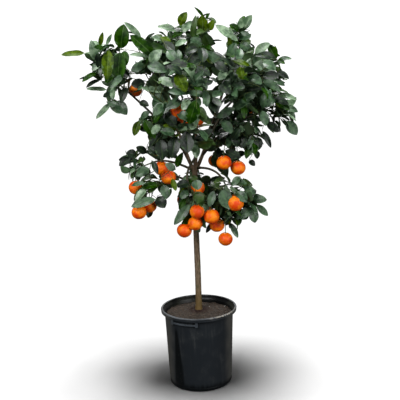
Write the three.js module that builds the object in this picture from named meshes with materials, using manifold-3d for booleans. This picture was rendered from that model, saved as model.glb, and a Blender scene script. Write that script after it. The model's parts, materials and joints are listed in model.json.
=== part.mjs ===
// Orange tree on one stem, in a black nursery pot.
// Units are millimetres and +Z is up. The origin is the middle of the pot's flat underside,
// and -Y is the front of the tree.
//
// The trunk stands in the potting soil and forks into three main limbs. Boughs leave the trunk
// and the limbs, and each one ends where it enters a mass of foliage. A mass is grown by a
// seeded rule: one stem, shoots that branch from it, leaves along the shoots, and oranges that
// hang from the stem. Every mass keeps to its own space among its neighbours.

import * as THREE from 'three';
import { mergeVertices } from 'three/addons/utils/BufferGeometryUtils.js';
import Module from 'manifold-3d';

const wasm = await Module();
wasm.setup();

// Clearance between neighbouring solids
const GAP = 0.3;

// Pot: a 20 litre nursery pot, 32 cm over the rim
const POT_HEIGHT = 326;
const POT_BASE_RADIUS = 132;
const POT_TOP_RADIUS = 145;
const POT_WALL = 2.5;
const POT_FLOOR = 4;
const POT_FOOT_ROUND = 9;
const POT_SIDES = 36;
const RIM_RADIUS = 160;
const RIM_HEIGHT = 16;
const RIM_BEAD = 5;
const RIM_STEP = 1;
const DRAIN_HOLES = 6;
const DRAIN_RADIUS = 8;
const DRAIN_CIRCLE = 92;
const DRAIN_SIDES = 8;
// How far the flats of the pot's wall come inside its true circle
const WALL_SAG = 0.6;

// Grips: two moulded bars under the rim, on opposite sides
const GRIP_AZIMUTH = -115;
const GRIP_SPAN = 46;
const GRIP_TOP = 299;
const GRIP_HEIGHT = 7;
const GRIP_REACH = 9;
const GRIP_END = 4;
const GRIP_END_HEIGHT = 20;
const GRIP_END_RISE = 8;
const GRIP_FACET = 12;

// Soil: fills the pot to a little below the rim, and is mounded towards the trunk
const SOIL_EDGE = 292;
const SOIL_CROWN = 300;
const SOIL_SIDES = 24;
const SOIL_SLOPE_START = 0.75;
const SOIL_SLOPE_RISE = 0.6;
const SOIL_TOP_RADIUS = 50;

// Trunk, from its flat cut at soil level to its fork
const TRUNK_FOOT = [0, 26, SOIL_CROWN + GAP];
const TRUNK_FORK = [3, 21, 905];
const TRUNK_BENDS = [[4, 26, 500], [-5, 18, 720]];
const TRUNK_FLARE_RADIUS = 17;
const TRUNK_FLARE_HEIGHT = 36;
const TRUNK_BASE_RADIUS = 13.6;
const TRUNK_FORK_RADIUS = 10.8;
const TRUNK_SIDES = 12;
const TRUNK_STEPS = 9;

// Limbs and boughs
const LIMB_SIDES = 8;
const LIMB_STEPS = 5;
const BOUGH_SIDES = 4;
const BOUGH_STEPS = 3;
const BOUGH_RADIUS = 5.2;
const BOUGH_TIP_RADIUS = 3.6;
const BOUGH_BENDS = [0.3, 0.6];
const BOUGH_END_RUN = 0.25;
const BOUGH_ENTRY = 0.6;
const LIMB_SAMPLES = 24;

// Spaces of the masses, and the numbers that start their growth
const MASS_PULL = 0.9;
const FIRST_SEED = 1000;
const SEED_STEP = 37;
const LEAF_SEED_STEP = 500;

// Shoots: each is rooted between the first and the last level along the stem
const STEM_RADII = [4, 3.9, 3.4];
const STEM_PAST_CENTRE = 0.22;
const SHOOT_RADII = [2.2, 3, 2.6];
const STEM_SIDES = 4;
const SHOOT_SIDES = 3;
const SHOOT_REACH = 0.5;
const SHOOT_REACH_RANGE = [0.85, 1.1];
const SHOOT_LEVELS = [0.14, 0.94];
const SHOOT_LIFT = 0.16;
const SHORT_SHOOT = 110;
const SHOOT_BACK_LIMIT = -0.62;

// Leaves. The outline gives places along the blade and half its width there.
const LEAF_LENGTH = 138;
const LEAF_WIDTH = 76;
const LEAF_THICKNESS = 4;
const LEAF_SINK = 7;
const LEAF_WIDEST = 0.45;
const LEAF_APART = 7;
const LEAF_MARGIN = 5;
const LEAF_ATTEMPTS = 10;
const LEAF_REACH = 1.1;
const LEAF_OUTLINE = [[0.14, 0.15], [0.28, 0.3], [LEAF_WIDEST, 0.5], [0.62, 0.34], [0.8, 0.18]];
const LEAF_SCALE_RANGE = [0.8, 1.1];
const LEAF_FULL_REACH = 125;
const LEAF_SMALLEST = 0.75;
const LEAF_OPEN_RANGE = [0.7, 1.25];
const LEAF_DROOP = 0.45;
const LEAF_SHRINK = 0.03;
const TIP_LEAF = 0.75;

// Where leaves stand on a shoot, and how far each opens from it
const END_LEAF_OPEN = 0.3;
const LATE_LEAF_PLACES = [0.3, 0.6, 0.95];
const LATE_LEAF_OPEN = 0.95;
const LATE_LEAF_STEP = 0.1;
const EARLY_LEAF_PLACE = 0.35;
const EARLY_LEAF_OPEN = 1.15;

// How near a point may come to a leaf's blade
const BLADE_FROM = 0.06;
const BLADE_TO = 1.03;
const BLADE_EDGE = 0.05;
const OWN_SHOOT_POINTS = 4;

// Leaves turn their upper side away from this upright axis
const CROWN_AXIS = [0, 20];
const FACE_FRONT = 0.6;
const FACE_OUTWARD = 0.35;
const FACE_TURN = 0.3;
const FACE_UP = 0.7;

// Oranges
const ORANGE_RADIUS = 30;
const ORANGE_SIDES = 8;
const STALK_RADIUS = 1.9;
const HANGING_DROP = 60;
const STALK_LEVEL_LOW = 0.3;
const STALK_LEVEL_HIGH = 0.5;
const STALK_ENTRY = 0.8;
const STALK_ARCH = 0.8;
const STALK_RISE = 20;

const GOLDEN_ANGLE = Math.PI * (3 - Math.sqrt(5));

// Main limbs: where each leaves its parent, the two points that bend it, its end and its radii
const LIMBS = [
  {
    name: 'limb_centre',
    parent: 'trunk',
    at: 1,
    bends: [[14, 12, 1010], [14, -6, 1120]],
    end: [38, -26, 1335],
    radii: [8.6, 4.6],
  },
  {
    name: 'limb_left',
    parent: 'trunk',
    at: 0.97,
    bends: [[-32, 16, 975], [-60, 6, 1080]],
    end: [-128, -34, 1262],
    radii: [8.2, 4.4],
  },
  {
    name: 'limb_right',
    parent: 'trunk',
    at: 0.985,
    bends: [[52, 22, 985], [84, 24, 1100]],
    end: [160, 2, 1318],
    radii: [8.4, 4.5],
  },
];

// Masses of foliage: where each is, how far its leaves reach, and the limb that carries it.
// "at" is the place of its bough on that limb, and "arch" lifts or drops the bough's middle.
// A mass with no arch sits on the limb's own end. "tips" are the furthest leaf tips.
const MASSES = [
  {
    name: 'left_clump',
    centre: [-325, -30, 1300],
    size: [115, 130, 165],
    limb: 'limb_left',
    at: 0.42,
    arch: [-10, -6, 20],
    shoots: 8,
    tips: [[-501, -30, 1382], [-377, -40, 1134], [-333, -50, 1463], [-424, -60, 1272]],
  },
  {
    name: 'left_top',
    centre: [-190, -50, 1376],
    size: [105, 125, 130],
    limb: 'limb_left',
    at: 1,
    shoots: 7,
    tips: [[-250, -60, 1486]],
  },
  {
    name: 'top_left',
    centre: [-58, -5, 1402],
    size: [120, 135, 110],
    limb: 'limb_centre',
    at: 0.72,
    arch: [-16, 16, 14],
    shoots: 7,
    tips: [[-7, -20, 1530]],
  },
  {
    name: 'top',
    centre: [52, -40, 1418],
    size: [100, 130, 120],
    limb: 'limb_centre',
    at: 1,
    shoots: 7,
    tips: [[21, -40, 1547]],
  },
  {
    name: 'right_top',
    centre: [178, 0, 1392],
    size: [105, 135, 130],
    limb: 'limb_right',
    at: 1,
    shoots: 7,
    tips: [[247, 0, 1513]],
  },
  {
    name: 'right_outer',
    centre: [282, -40, 1300],
    size: [110, 130, 130],
    limb: 'limb_right',
    at: 0.62,
    arch: [16, -10, 16],
    shoots: 8,
    tips: [[398, -30, 1338], [385, -40, 1262]],
  },
  {
    name: 'right_low_outer',
    centre: [306, -60, 1152],
    size: [120, 135, 120],
    limb: 'limb_right',
    at: 0.34,
    arch: [20, -14, 30],
    shoots: 8,
    tips: [[412, -60, 1047], [413, -60, 1176]],
  },
  {
    name: 'right_low',
    centre: [190, -70, 1060],
    size: [135, 140, 115],
    limb: 'limb_right',
    at: 0.24,
    arch: [10, -10, 34],
    shoots: 7,
    tips: [[308, -60, 994]],
  },
  {
    name: 'right_mid',
    centre: [172, -165, 1255],
    size: [140, 140, 140],
    limb: 'limb_right',
    at: 0.5,
    arch: [-6, -30, 20],
    shoots: 8,
  },
  {
    name: 'front',
    centre: [14, -225, 1245],
    size: [140, 135, 140],
    limb: 'limb_centre',
    at: 0.5,
    arch: [-8, -40, 24],
    shoots: 8,
  },
  {
    name: 'left_mid',
    centre: [-138, -160, 1218],
    size: [125, 130, 130],
    limb: 'limb_left',
    at: 0.62,
    arch: [8, -26, 16],
    shoots: 7,
  },
  {
    name: 'left_low',
    centre: [-145, -62, 1078],
    size: [95, 115, 120],
    limb: 'limb_left',
    at: 0.3,
    arch: [-8, -8, 22],
    shoots: 7,
    tips: [[-228, -60, 1063]],
  },
  {
    name: 'centre_low',
    centre: [-34, -150, 1068],
    size: [135, 130, 120],
    limb: 'limb_centre',
    at: 0.24,
    arch: [-10, -20, 26],
    shoots: 7,
  },
  {
    name: 'low_left_outer',
    centre: [-217, -30, 930],
    size: [95, 110, 100],
    limb: 'limb_left',
    at: 0.06,
    arch: [-10, 0, 34],
    shoots: 8,
    tips: [[-300, -40, 943]],
  },
  {
    name: 'low_left',
    centre: [-160, -82, 860],
    size: [110, 125, 115],
    limb: 'trunk',
    at: 0.9,
    arch: [-10, -10, 30],
    shoots: 9,
    tips: [[-120, -90, 772]],
  },
  {
    name: 'low_centre',
    centre: [4, -105, 800],
    size: [110, 120, 140],
    limb: 'limb_centre',
    at: 0.16,
    arch: [-34, -46, 16],
    shoots: 9,
    tips: [[-91, -100, 703]],
  },
  {
    name: 'low_right',
    centre: [148, -88, 800],
    size: [130, 135, 135],
    limb: 'limb_right',
    at: 0.06,
    arch: [14, -30, 46],
    shoots: 8,
    tips: [[287, -90, 791], [290, -90, 725]],
  },
  {
    name: 'back_left',
    centre: [-190, 200, 1290],
    size: [170, 160, 165],
    limb: 'limb_left',
    at: 0.55,
    arch: [-6, 34, 10],
    shoots: 8,
  },
  {
    name: 'back_top',
    centre: [40, 200, 1362],
    size: [160, 160, 160],
    limb: 'limb_centre',
    at: 0.42,
    arch: [-4, 50, 30],
    shoots: 8,
  },
  {
    name: 'back_right',
    centre: [230, 190, 1225],
    size: [165, 165, 170],
    limb: 'limb_right',
    at: 0.44,
    arch: [4, 40, 20],
    shoots: 8,
  },
  {
    name: 'back_low_left',
    centre: [-120, 190, 1060],
    size: [150, 150, 140],
    limb: 'limb_left',
    at: 0.14,
    arch: [-10, 30, 26],
    shoots: 7,
  },
  {
    name: 'back_low_right',
    centre: [130, 220, 1000],
    size: [160, 150, 160],
    limb: 'limb_right',
    at: 0.18,
    arch: [0, 50, 24],
    shoots: 7,
  },
  {
    name: 'back_low',
    centre: [-10, 165, 800],
    size: [150, 135, 140],
    limb: 'trunk',
    at: 0.86,
    arch: [-4, 20, 34],
    shoots: 7,
  },
];

// Oranges: the middle of each, as they hang in ones, twos and clusters
const ORANGES = [
  [-223, -110, 762],
  [-184, -66, 778],
  [-234, -76, 856],
  [-102, -92, 896],
  [-131, -38, 924],
  [7, -165, 768],
  [-2, -132, 714],
  [-46, -118, 684],
  [63, -152, 744],
  [85, -92, 696],
  [117, -108, 641],
  [158, -138, 792],
  [118, -122, 951],
  [174, -90, 924],
  [12, -86, 848],
  [-52, -158, 1158],
  [-28, -112, 1112],
  [20, -84, 1122],
  [-70, 196, 742],
  [-20, 226, 702],
  [52, 190, 726],
  [-170, 236, 968],
  [92, 276, 908],
  [168, 250, 926],
  [-226, 232, 1214],
  [256, 236, 1140],
];

function vec(values) {
  return new THREE.Vector3(values[0], values[1], values[2]);
}

// Repeatable random numbers from 0 to 1
function seededRandom(seed) {
  let state = seed >>> 0;
  return () => {
    state = (state + 0x6d2b79f5) >>> 0;
    let mixed = state;
    mixed = Math.imul(mixed ^ (mixed >>> 15), mixed | 1);
    mixed ^= mixed + Math.imul(mixed ^ (mixed >>> 7), mixed | 61);
    return ((mixed ^ (mixed >>> 14)) >>> 0) / 4294967296;
  };
}

function geometryOf(points, triangles) {
  const geometry = new THREE.BufferGeometry();
  geometry.setAttribute('position', new THREE.Float32BufferAttribute(points.flat(), 3));
  geometry.setIndex(triangles.flat());
  return geometry;
}

function solidOf(source) {
  const geometry = source.clone();
  geometry.deleteAttribute('normal');
  geometry.deleteAttribute('uv');
  const merged = mergeVertices(geometry, 1e-4);
  const vertProperties = new Float32Array(merged.attributes.position.array);
  const triVerts = new Uint32Array(merged.index.array);
  return new wasm.Manifold(new wasm.Mesh({ numProp: 3, vertProperties, triVerts }));
}

function geometryFrom(solid) {
  const { vertProperties, triVerts } = solid.getMesh();
  const geometry = new THREE.BufferGeometry();
  geometry.setAttribute('position', new THREE.BufferAttribute(new Float32Array(vertProperties), 3));
  geometry.setIndex(new THREE.BufferAttribute(new Uint32Array(triVerts), 1));
  geometry.computeVertexNormals();
  return geometry;
}

function largestPiece(solid) {
  const pieces = solid.decompose();
  return pieces.reduce((best, piece) => (piece.volume() > best.volume() ? piece : best));
}

// Any direction square to this one, always the same for the same direction
function squareTo(direction) {
  const upright = Math.abs(direction.z) > 0.9;
  const helper = upright ? new THREE.Vector3(0, 1, 0) : new THREE.Vector3(0, 0, 1);
  return new THREE.Vector3().crossVectors(direction, helper).normalize();
}

// A closed tapering tube along a path; its frame is carried along without twist.
// A last radius of 0 gives it a pointed tip.
function taperedTube(path, radii, sides) {
  const points = [];
  const triangles = [];
  const last = path.length - 1;
  const pointed = radii[last] === 0;
  let across = null;
  path.forEach((middle, k) => {
    const before = path[Math.max(k - 1, 0)];
    const after = path[Math.min(k + 1, last)];
    const along = new THREE.Vector3().subVectors(after, before).normalize();
    across = across ?? squareTo(along);
    across.addScaledVector(along, -across.dot(along)).normalize();
    const third = new THREE.Vector3().crossVectors(along, across);
    if (k === last && pointed) {
      points.push(middle.toArray());
      return;
    }
    for (let side = 0; side < sides; side += 1) {
      const angle = (2 * Math.PI * side) / sides;
      const point = middle.clone();
      point.addScaledVector(across, radii[k] * Math.cos(angle));
      point.addScaledVector(third, radii[k] * Math.sin(angle));
      points.push(point.toArray());
    }
  });
  const rings = pointed ? last : last + 1;
  for (let ring = 0; ring + 1 < rings; ring += 1) {
    for (let side = 0; side < sides; side += 1) {
      const a = ring * sides + side;
      const b = ring * sides + ((side + 1) % sides);
      triangles.push([a, b, b + sides], [a, b + sides, a + sides]);
    }
  }
  const top = (rings - 1) * sides;
  for (let side = 1; side + 1 < sides; side += 1) {
    triangles.push([0, side + 1, side]);
    if (!pointed) {
      triangles.push([top, top + side, top + side + 1]);
    }
  }
  if (pointed) {
    for (let side = 0; side < sides; side += 1) {
      triangles.push([top + side, top + ((side + 1) % sides), points.length - 1]);
    }
  }
  return geometryOf(points, triangles);
}

function samplePath(curve, steps) {
  const path = [];
  for (let k = 0; k <= steps; k += 1) {
    path.push(curve.getPoint(k / steps));
  }
  return path;
}

function mix(a, b, t) {
  return a + (b - a) * t;
}

function ring(radius, height) {
  return new THREE.Vector2(radius, height);
}

// Pot

function potSolid() {
  const wallAt = (height) => mix(POT_BASE_RADIUS, POT_TOP_RADIUS, height / POT_HEIGHT);
  const rimFoot = POT_HEIGHT - RIM_HEIGHT;
  const lip = POT_HEIGHT - RIM_BEAD;
  const inner = RIM_RADIUS - 2 * RIM_BEAD;
  const profile = [ring(0, 0), ring(wallAt(0) - POT_FOOT_ROUND, 0)];
  profile.push(ring(wallAt(0) - 0.3 * POT_FOOT_ROUND, 0.3 * POT_FOOT_ROUND));
  profile.push(ring(wallAt(POT_FOOT_ROUND), POT_FOOT_ROUND));
  profile.push(ring(wallAt(rimFoot), rimFoot));
  profile.push(ring(RIM_RADIUS - RIM_BEAD, rimFoot + RIM_STEP));
  profile.push(ring(RIM_RADIUS - RIM_STEP, lip - 3 * RIM_STEP));
  for (let k = 0; k <= 3; k += 1) {
    const angle = (Math.PI * k) / 3;
    profile.push(ring(inner + RIM_BEAD + RIM_BEAD * Math.cos(angle), lip + RIM_BEAD * Math.sin(angle)));
  }
  profile.push(ring(wallAt(rimFoot) - POT_WALL, rimFoot - 2 * RIM_STEP));
  profile.push(ring(wallAt(POT_FLOOR) - POT_WALL - POT_FOOT_ROUND / 2, POT_FLOOR));
  profile.push(ring(0, POT_FLOOR));
  const shell = new THREE.LatheGeometry(profile, POT_SIDES);
  shell.rotateX(Math.PI / 2);
  return solidOf(shell);
}

// A block that follows the wall round the pot, between two radii and two heights
function ringBlock(middleAngle, span, innerRadius, outerRadius, bottom, height) {
  const shape = new THREE.Shape();
  const from = THREE.MathUtils.degToRad(middleAngle - span / 2);
  const to = THREE.MathUtils.degToRad(middleAngle + span / 2);
  shape.absarc(0, 0, outerRadius, from, to, false);
  shape.absarc(0, 0, innerRadius, to, from, true);
  shape.closePath();
  const segments = Math.max(1, Math.round(span / GRIP_FACET));
  const sizes = { depth: height, bevelEnabled: false, curveSegments: segments };
  const block = new THREE.ExtrudeGeometry(shape, sizes);
  block.translate(0, 0, bottom);
  return solidOf(block);
}

function gripSolids(azimuth) {
  const inner = POT_TOP_RADIUS - POT_WALL;
  const outer = POT_TOP_RADIUS + GRIP_REACH;
  const bar = ringBlock(azimuth, GRIP_SPAN, inner, outer, GRIP_TOP - GRIP_HEIGHT, GRIP_HEIGHT);
  const ends = [-1, 1].map((side) => {
    const at = azimuth + (side * (GRIP_SPAN - GRIP_END)) / 2;
    const bottom = GRIP_TOP + GRIP_END_RISE - GRIP_END_HEIGHT;
    return ringBlock(at, GRIP_END, inner, outer, bottom, GRIP_END_HEIGHT);
  });
  return [bar, ...ends];
}

function makePot() {
  let pot = potSolid();
  for (const azimuth of [GRIP_AZIMUTH, GRIP_AZIMUTH + 180]) {
    for (const block of gripSolids(azimuth)) {
      pot = pot.add(block);
    }
  }
  for (let k = 0; k < DRAIN_HOLES; k += 1) {
    const angle = (2 * Math.PI * k) / DRAIN_HOLES;
    const drill = new THREE.CylinderGeometry(DRAIN_RADIUS, DRAIN_RADIUS, 6 * POT_FLOOR, DRAIN_SIDES);
    drill.rotateX(Math.PI / 2);
    drill.translate(DRAIN_CIRCLE * Math.cos(angle), DRAIN_CIRCLE * Math.sin(angle), 0);
    pot = pot.subtract(solidOf(drill));
  }
  return pot;
}

// Soil

function makeSoil() {
  const inset = POT_WALL + WALL_SAG + GAP;
  const wallAt = (height) => mix(POT_BASE_RADIUS, POT_TOP_RADIUS, height / POT_HEIGHT) - inset;
  const bottom = POT_FLOOR + GAP;
  const profile = [ring(0, bottom), ring(wallAt(bottom) - POT_FOOT_ROUND / 2, bottom)];
  profile.push(ring(wallAt(SOIL_EDGE), SOIL_EDGE));
  const slope = mix(SOIL_EDGE, SOIL_CROWN, SOIL_SLOPE_RISE);
  profile.push(ring(SOIL_SLOPE_START * wallAt(SOIL_EDGE), slope));
  profile.push(ring(SOIL_TOP_RADIUS, SOIL_CROWN));
  profile.push(ring(0, SOIL_CROWN));
  const soil = new THREE.LatheGeometry(profile, SOIL_SIDES);
  soil.rotateX(Math.PI / 2);
  return solidOf(soil);
}

// Limbs

// A limb is a tapering tube on a cubic curve; "fat" makes it that much thicker all round
function limbSolid(limb, fat = 0) {
  const path = samplePath(limb.curve, limb.steps);
  const radii = path.map((point, k) => limb.radiusAt(k / limb.steps) + fat);
  if (fat > 0) {
    const last = path.length - 1;
    const out = new THREE.Vector3().subVectors(path[last], path[last - 1]).normalize();
    const back = new THREE.Vector3().subVectors(path[0], path[1]).normalize();
    path[last] = path[last].clone().addScaledVector(out, fat);
    path[0] = path[0].clone().addScaledVector(back, fat);
  }
  return solidOf(taperedTube(path, radii, limb.sides));
}

function makeLimbData(name, points, radiusAt, sides, steps) {
  const curve = new THREE.CubicBezierCurve3(...points);
  return { name, curve, radiusAt, sides, steps, path: samplePath(curve, LIMB_SAMPLES) };
}

function trunkRadius(t) {
  const height = t * (TRUNK_FORK[2] - TRUNK_FOOT[2]);
  const flare = Math.max(0, 1 - height / TRUNK_FLARE_HEIGHT) ** 2;
  return mix(TRUNK_BASE_RADIUS, TRUNK_FORK_RADIUS, t) + flare * (TRUNK_FLARE_RADIUS - TRUNK_BASE_RADIUS);
}

function planTree() {
  const limbs = new Map();
  const trunkPoints = [TRUNK_FOOT, ...TRUNK_BENDS, TRUNK_FORK].map(vec);
  limbs.set('trunk', makeLimbData('trunk', trunkPoints, trunkRadius, TRUNK_SIDES, TRUNK_STEPS));
  for (const row of LIMBS) {
    const start = limbs.get(row.parent).curve.getPoint(row.at);
    const points = [start, ...row.bends.map(vec), vec(row.end)];
    const radiusAt = (t) => mix(row.radii[0], row.radii[1], t);
    limbs.set(row.name, makeLimbData(row.name, points, radiusAt, LIMB_SIDES, LIMB_STEPS));
  }
  for (const mass of MASSES) {
    if (mass.at === 1) {
      mass.bough = limbs.get(mass.limb);
      continue;
    }
    const start = limbs.get(mass.limb).curve.getPoint(mass.at);
    const centre = vec(mass.centre);
    const arch = vec(mass.arch);
    const first = start.clone().lerp(centre, BOUGH_BENDS[0]).add(arch);
    const second = start.clone().lerp(centre, BOUGH_BENDS[1]).add(arch);
    const inward = new THREE.Vector3().subVectors(second, centre).normalize();
    const end = centre.clone().addScaledVector(inward, BOUGH_ENTRY * Math.min(...mass.size));
    second.copy(end).addScaledVector(inward, BOUGH_END_RUN * start.distanceTo(end));
    const radiusAt = (t) => mix(BOUGH_RADIUS, BOUGH_TIP_RADIUS, t);
    const name = `bough_${mass.name}`;
    mass.bough = makeLimbData(name, [start, first, second, end], radiusAt, BOUGH_SIDES, BOUGH_STEPS);
    limbs.set(name, mass.bough);
  }
  return limbs;
}

// Space of a mass

// How far a point is inside the mass's own space: its cell among the masses, and its reach
function roomAt(mass, point) {
  const centre = vec(mass.centre);
  const own = point.distanceToSquared(centre) - mass.pull;
  let room = Infinity;
  for (const other of MASSES) {
    if (other !== mass) {
      const away = centre.distanceTo(vec(other.centre));
      const theirs = point.distanceToSquared(vec(other.centre)) - other.pull;
      room = Math.min(room, (theirs - own) / (2 * away));
    }
  }
  return room;
}

function insideReach(mass, point) {
  const [x, y, z] = point.clone().sub(vec(mass.centre)).toArray().map((value, k) => value / mass.size[k]);
  return x * x + y * y + z * z <= LEAF_REACH ** 2;
}

function distanceToPath(point, path) {
  const line = new THREE.Line3();
  const nearest = new THREE.Vector3();
  let best = Infinity;
  for (let k = 0; k + 1 < path.length; k += 1) {
    line.set(path[k], path[k + 1]);
    line.closestPointToPoint(point, true, nearest);
    best = Math.min(best, nearest.distanceTo(point));
  }
  return best;
}

// Clear of the trunk, the limbs and boughs, the oranges and their stalks, and within the space
function isFree(plan, mass, points, margin) {
  return points.every((point) => {
    if (roomAt(mass, point) < margin) {
      return false;
    }
    for (const orange of plan.oranges) {
      if (orange.distanceTo(point) < ORANGE_RADIUS + margin) {
        return false;
      }
    }
    for (const limb of plan.limbs.values()) {
      if (distanceToPath(point, limb.path) < limb.radiusAt(0) + margin) {
        return false;
      }
    }
    for (const stalk of plan.stalks) {
      if (distanceToPath(point, stalk) < STALK_RADIUS + margin) {
        return false;
      }
    }
    return true;
  });
}

// Shoots

function bezierPath(start, control, end, steps) {
  return samplePath(new THREE.QuadraticBezierCurve3(start, control, end), steps);
}

function growStem(mass) {
  const end = mass.bough.curve.getPoint(1);
  const along = new THREE.Vector3().subVectors(vec(mass.centre), end).normalize();
  const start = end.clone().addScaledVector(along, GAP);
  const reach = vec(mass.centre).distanceTo(end) + STEM_PAST_CENTRE * Math.min(...mass.size);
  const tip = end.clone().addScaledVector(along, reach);
  return { start, tip, along };
}

// Directions spread evenly round the stem, none of them back along the bough
function shootDirections(along, count, random) {
  const across = squareTo(along);
  const third = new THREE.Vector3().crossVectors(along, across);
  const turn = random() * 2 * Math.PI;
  const directions = [];
  for (let k = 0; k < count; k += 1) {
    const rise = mix(1, SHOOT_BACK_LIMIT, (k + 0.5) / count);
    const level = Math.sqrt(1 - rise * rise);
    const angle = turn + k * GOLDEN_ANGLE;
    const direction = along.clone().multiplyScalar(rise);
    direction.addScaledVector(across, level * Math.cos(angle));
    direction.addScaledVector(third, level * Math.sin(angle));
    directions.push(direction);
  }
  return directions;
}

function growShoots(plan, mass) {
  const random = seededRandom(mass.seed);
  const { start, tip, along } = growStem(mass);
  const centre = vec(mass.centre);
  const size = vec(mass.size);
  const shoots = [{ path: [start, start.clone().lerp(tip, 0.5), tip], stem: true }];
  const ends = shootDirections(along, mass.shoots, random).map((direction) => {
    const reach = SHOOT_REACH * mix(...SHOOT_REACH_RANGE, random());
    return centre.clone().addScaledVector(direction.clone().multiply(size), reach);
  });
  for (const place of mass.tips ?? []) {
    const outward = vec(place).sub(centre);
    const back = Math.min(TIP_LEAF * LEAF_LENGTH, TIP_LEAF * outward.length());
    ends.push(vec(place).addScaledVector(outward.normalize(), -back));
  }
  const height = (end) => new THREE.Vector3().subVectors(end, start).dot(along);
  const ranked = ends.toSorted((one, other) => height(one) - height(other));
  ends.forEach((end, k) => {
    const level = mix(...SHOOT_LEVELS, ranked.indexOf(end) / (ends.length - 1));
    const root = start.clone().lerp(tip, level);
    const control = root.clone().lerp(end, 0.5);
    const short = root.distanceTo(end) < SHORT_SHOOT;
    control.z += short ? 0 : SHOOT_LIFT * root.distanceTo(end);
    const path = bezierPath(root, control, end, 4);
    if (isFree(plan, mass, path.slice(2), LEAF_MARGIN)) {
      shoots.push({ path: bezierPath(root, control, end, 2), short, tip: mass.tips?.[k - mass.shoots] });
    }
  });
  return shoots;
}

// Leaves

// The frame of a leaf: where it is rooted, which way it points, and its upper side, which
// faces up, out of its own mass and away from the tree
function leafFrame(mass, root, direction, random) {
  const up = root.clone().sub(vec(mass.centre)).divideScalar(mass.size[0]);
  const outward = new THREE.Vector3(root.x - CROWN_AXIS[0], root.y - CROWN_AXIS[1], 0);
  up.addScaledVector(outward.normalize(), FACE_OUTWARD);
  up.x += mix(-FACE_TURN, FACE_TURN, random());
  up.y += mix(-FACE_TURN, FACE_TURN, random()) + FACE_FRONT * Math.sign(root.y - mass.centre[1]);
  up.z += FACE_UP * random();
  up.addScaledVector(direction, -up.dot(direction)).normalize();
  const side = new THREE.Vector3().crossVectors(up, direction);
  return { root, direction, up, side };
}

// The direction of a leaf that stands off its shoot by an angle and then droops
function leafDirection(along, turn, spread, droop) {
  const across = squareTo(along);
  const third = new THREE.Vector3().crossVectors(along, across);
  const direction = along.clone().multiplyScalar(Math.cos(spread));
  direction.addScaledVector(across, Math.sin(spread) * Math.cos(turn));
  direction.addScaledVector(third, Math.sin(spread) * Math.sin(turn));
  direction.z -= droop;
  return direction.normalize();
}

// Points spread over a leaf, from its root to its tip and out to its edges
function leafPoints(leaf) {
  const points = [];
  for (const [along, half] of LEAF_OUTLINE) {
    for (const across of [-half, -half / 2, 0, half / 2, half]) {
      const point = leaf.root.clone().addScaledVector(leaf.direction, along * leaf.length);
      point.addScaledVector(leaf.side, across * leaf.width);
      points.push(point);
    }
  }
  points.push(leaf.root.clone().addScaledVector(leaf.direction, leaf.length));
  return points;
}

// Whether a point lies in a leaf's blade or too close to it
function touchesBlade(leaf, point) {
  const offset = point.clone().sub(leaf.root);
  const along = offset.dot(leaf.direction) / leaf.length;
  if (along < BLADE_FROM || along > BLADE_TO) {
    return false;
  }
  const across = Math.abs(offset.dot(leaf.side)) / leaf.width;
  const outline = along < LEAF_WIDEST ? along / LEAF_WIDEST : (1 - along) / (1 - LEAF_WIDEST);
  return Math.abs(offset.dot(leaf.up)) < LEAF_APART && across < 0.5 * outline + BLADE_EDGE;
}

function shootClashes(leaf, shoot) {
  const points = shoot === leaf.shoot ? shoot.points.slice(0, OWN_SHOOT_POINTS) : shoot.points;
  return points.some((point) => touchesBlade(leaf, point));
}

function leavesClash(one, other) {
  return one.points.some((point) => touchesBlade(other, point))
    || other.points.some((point) => touchesBlade(one, point));
}

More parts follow.
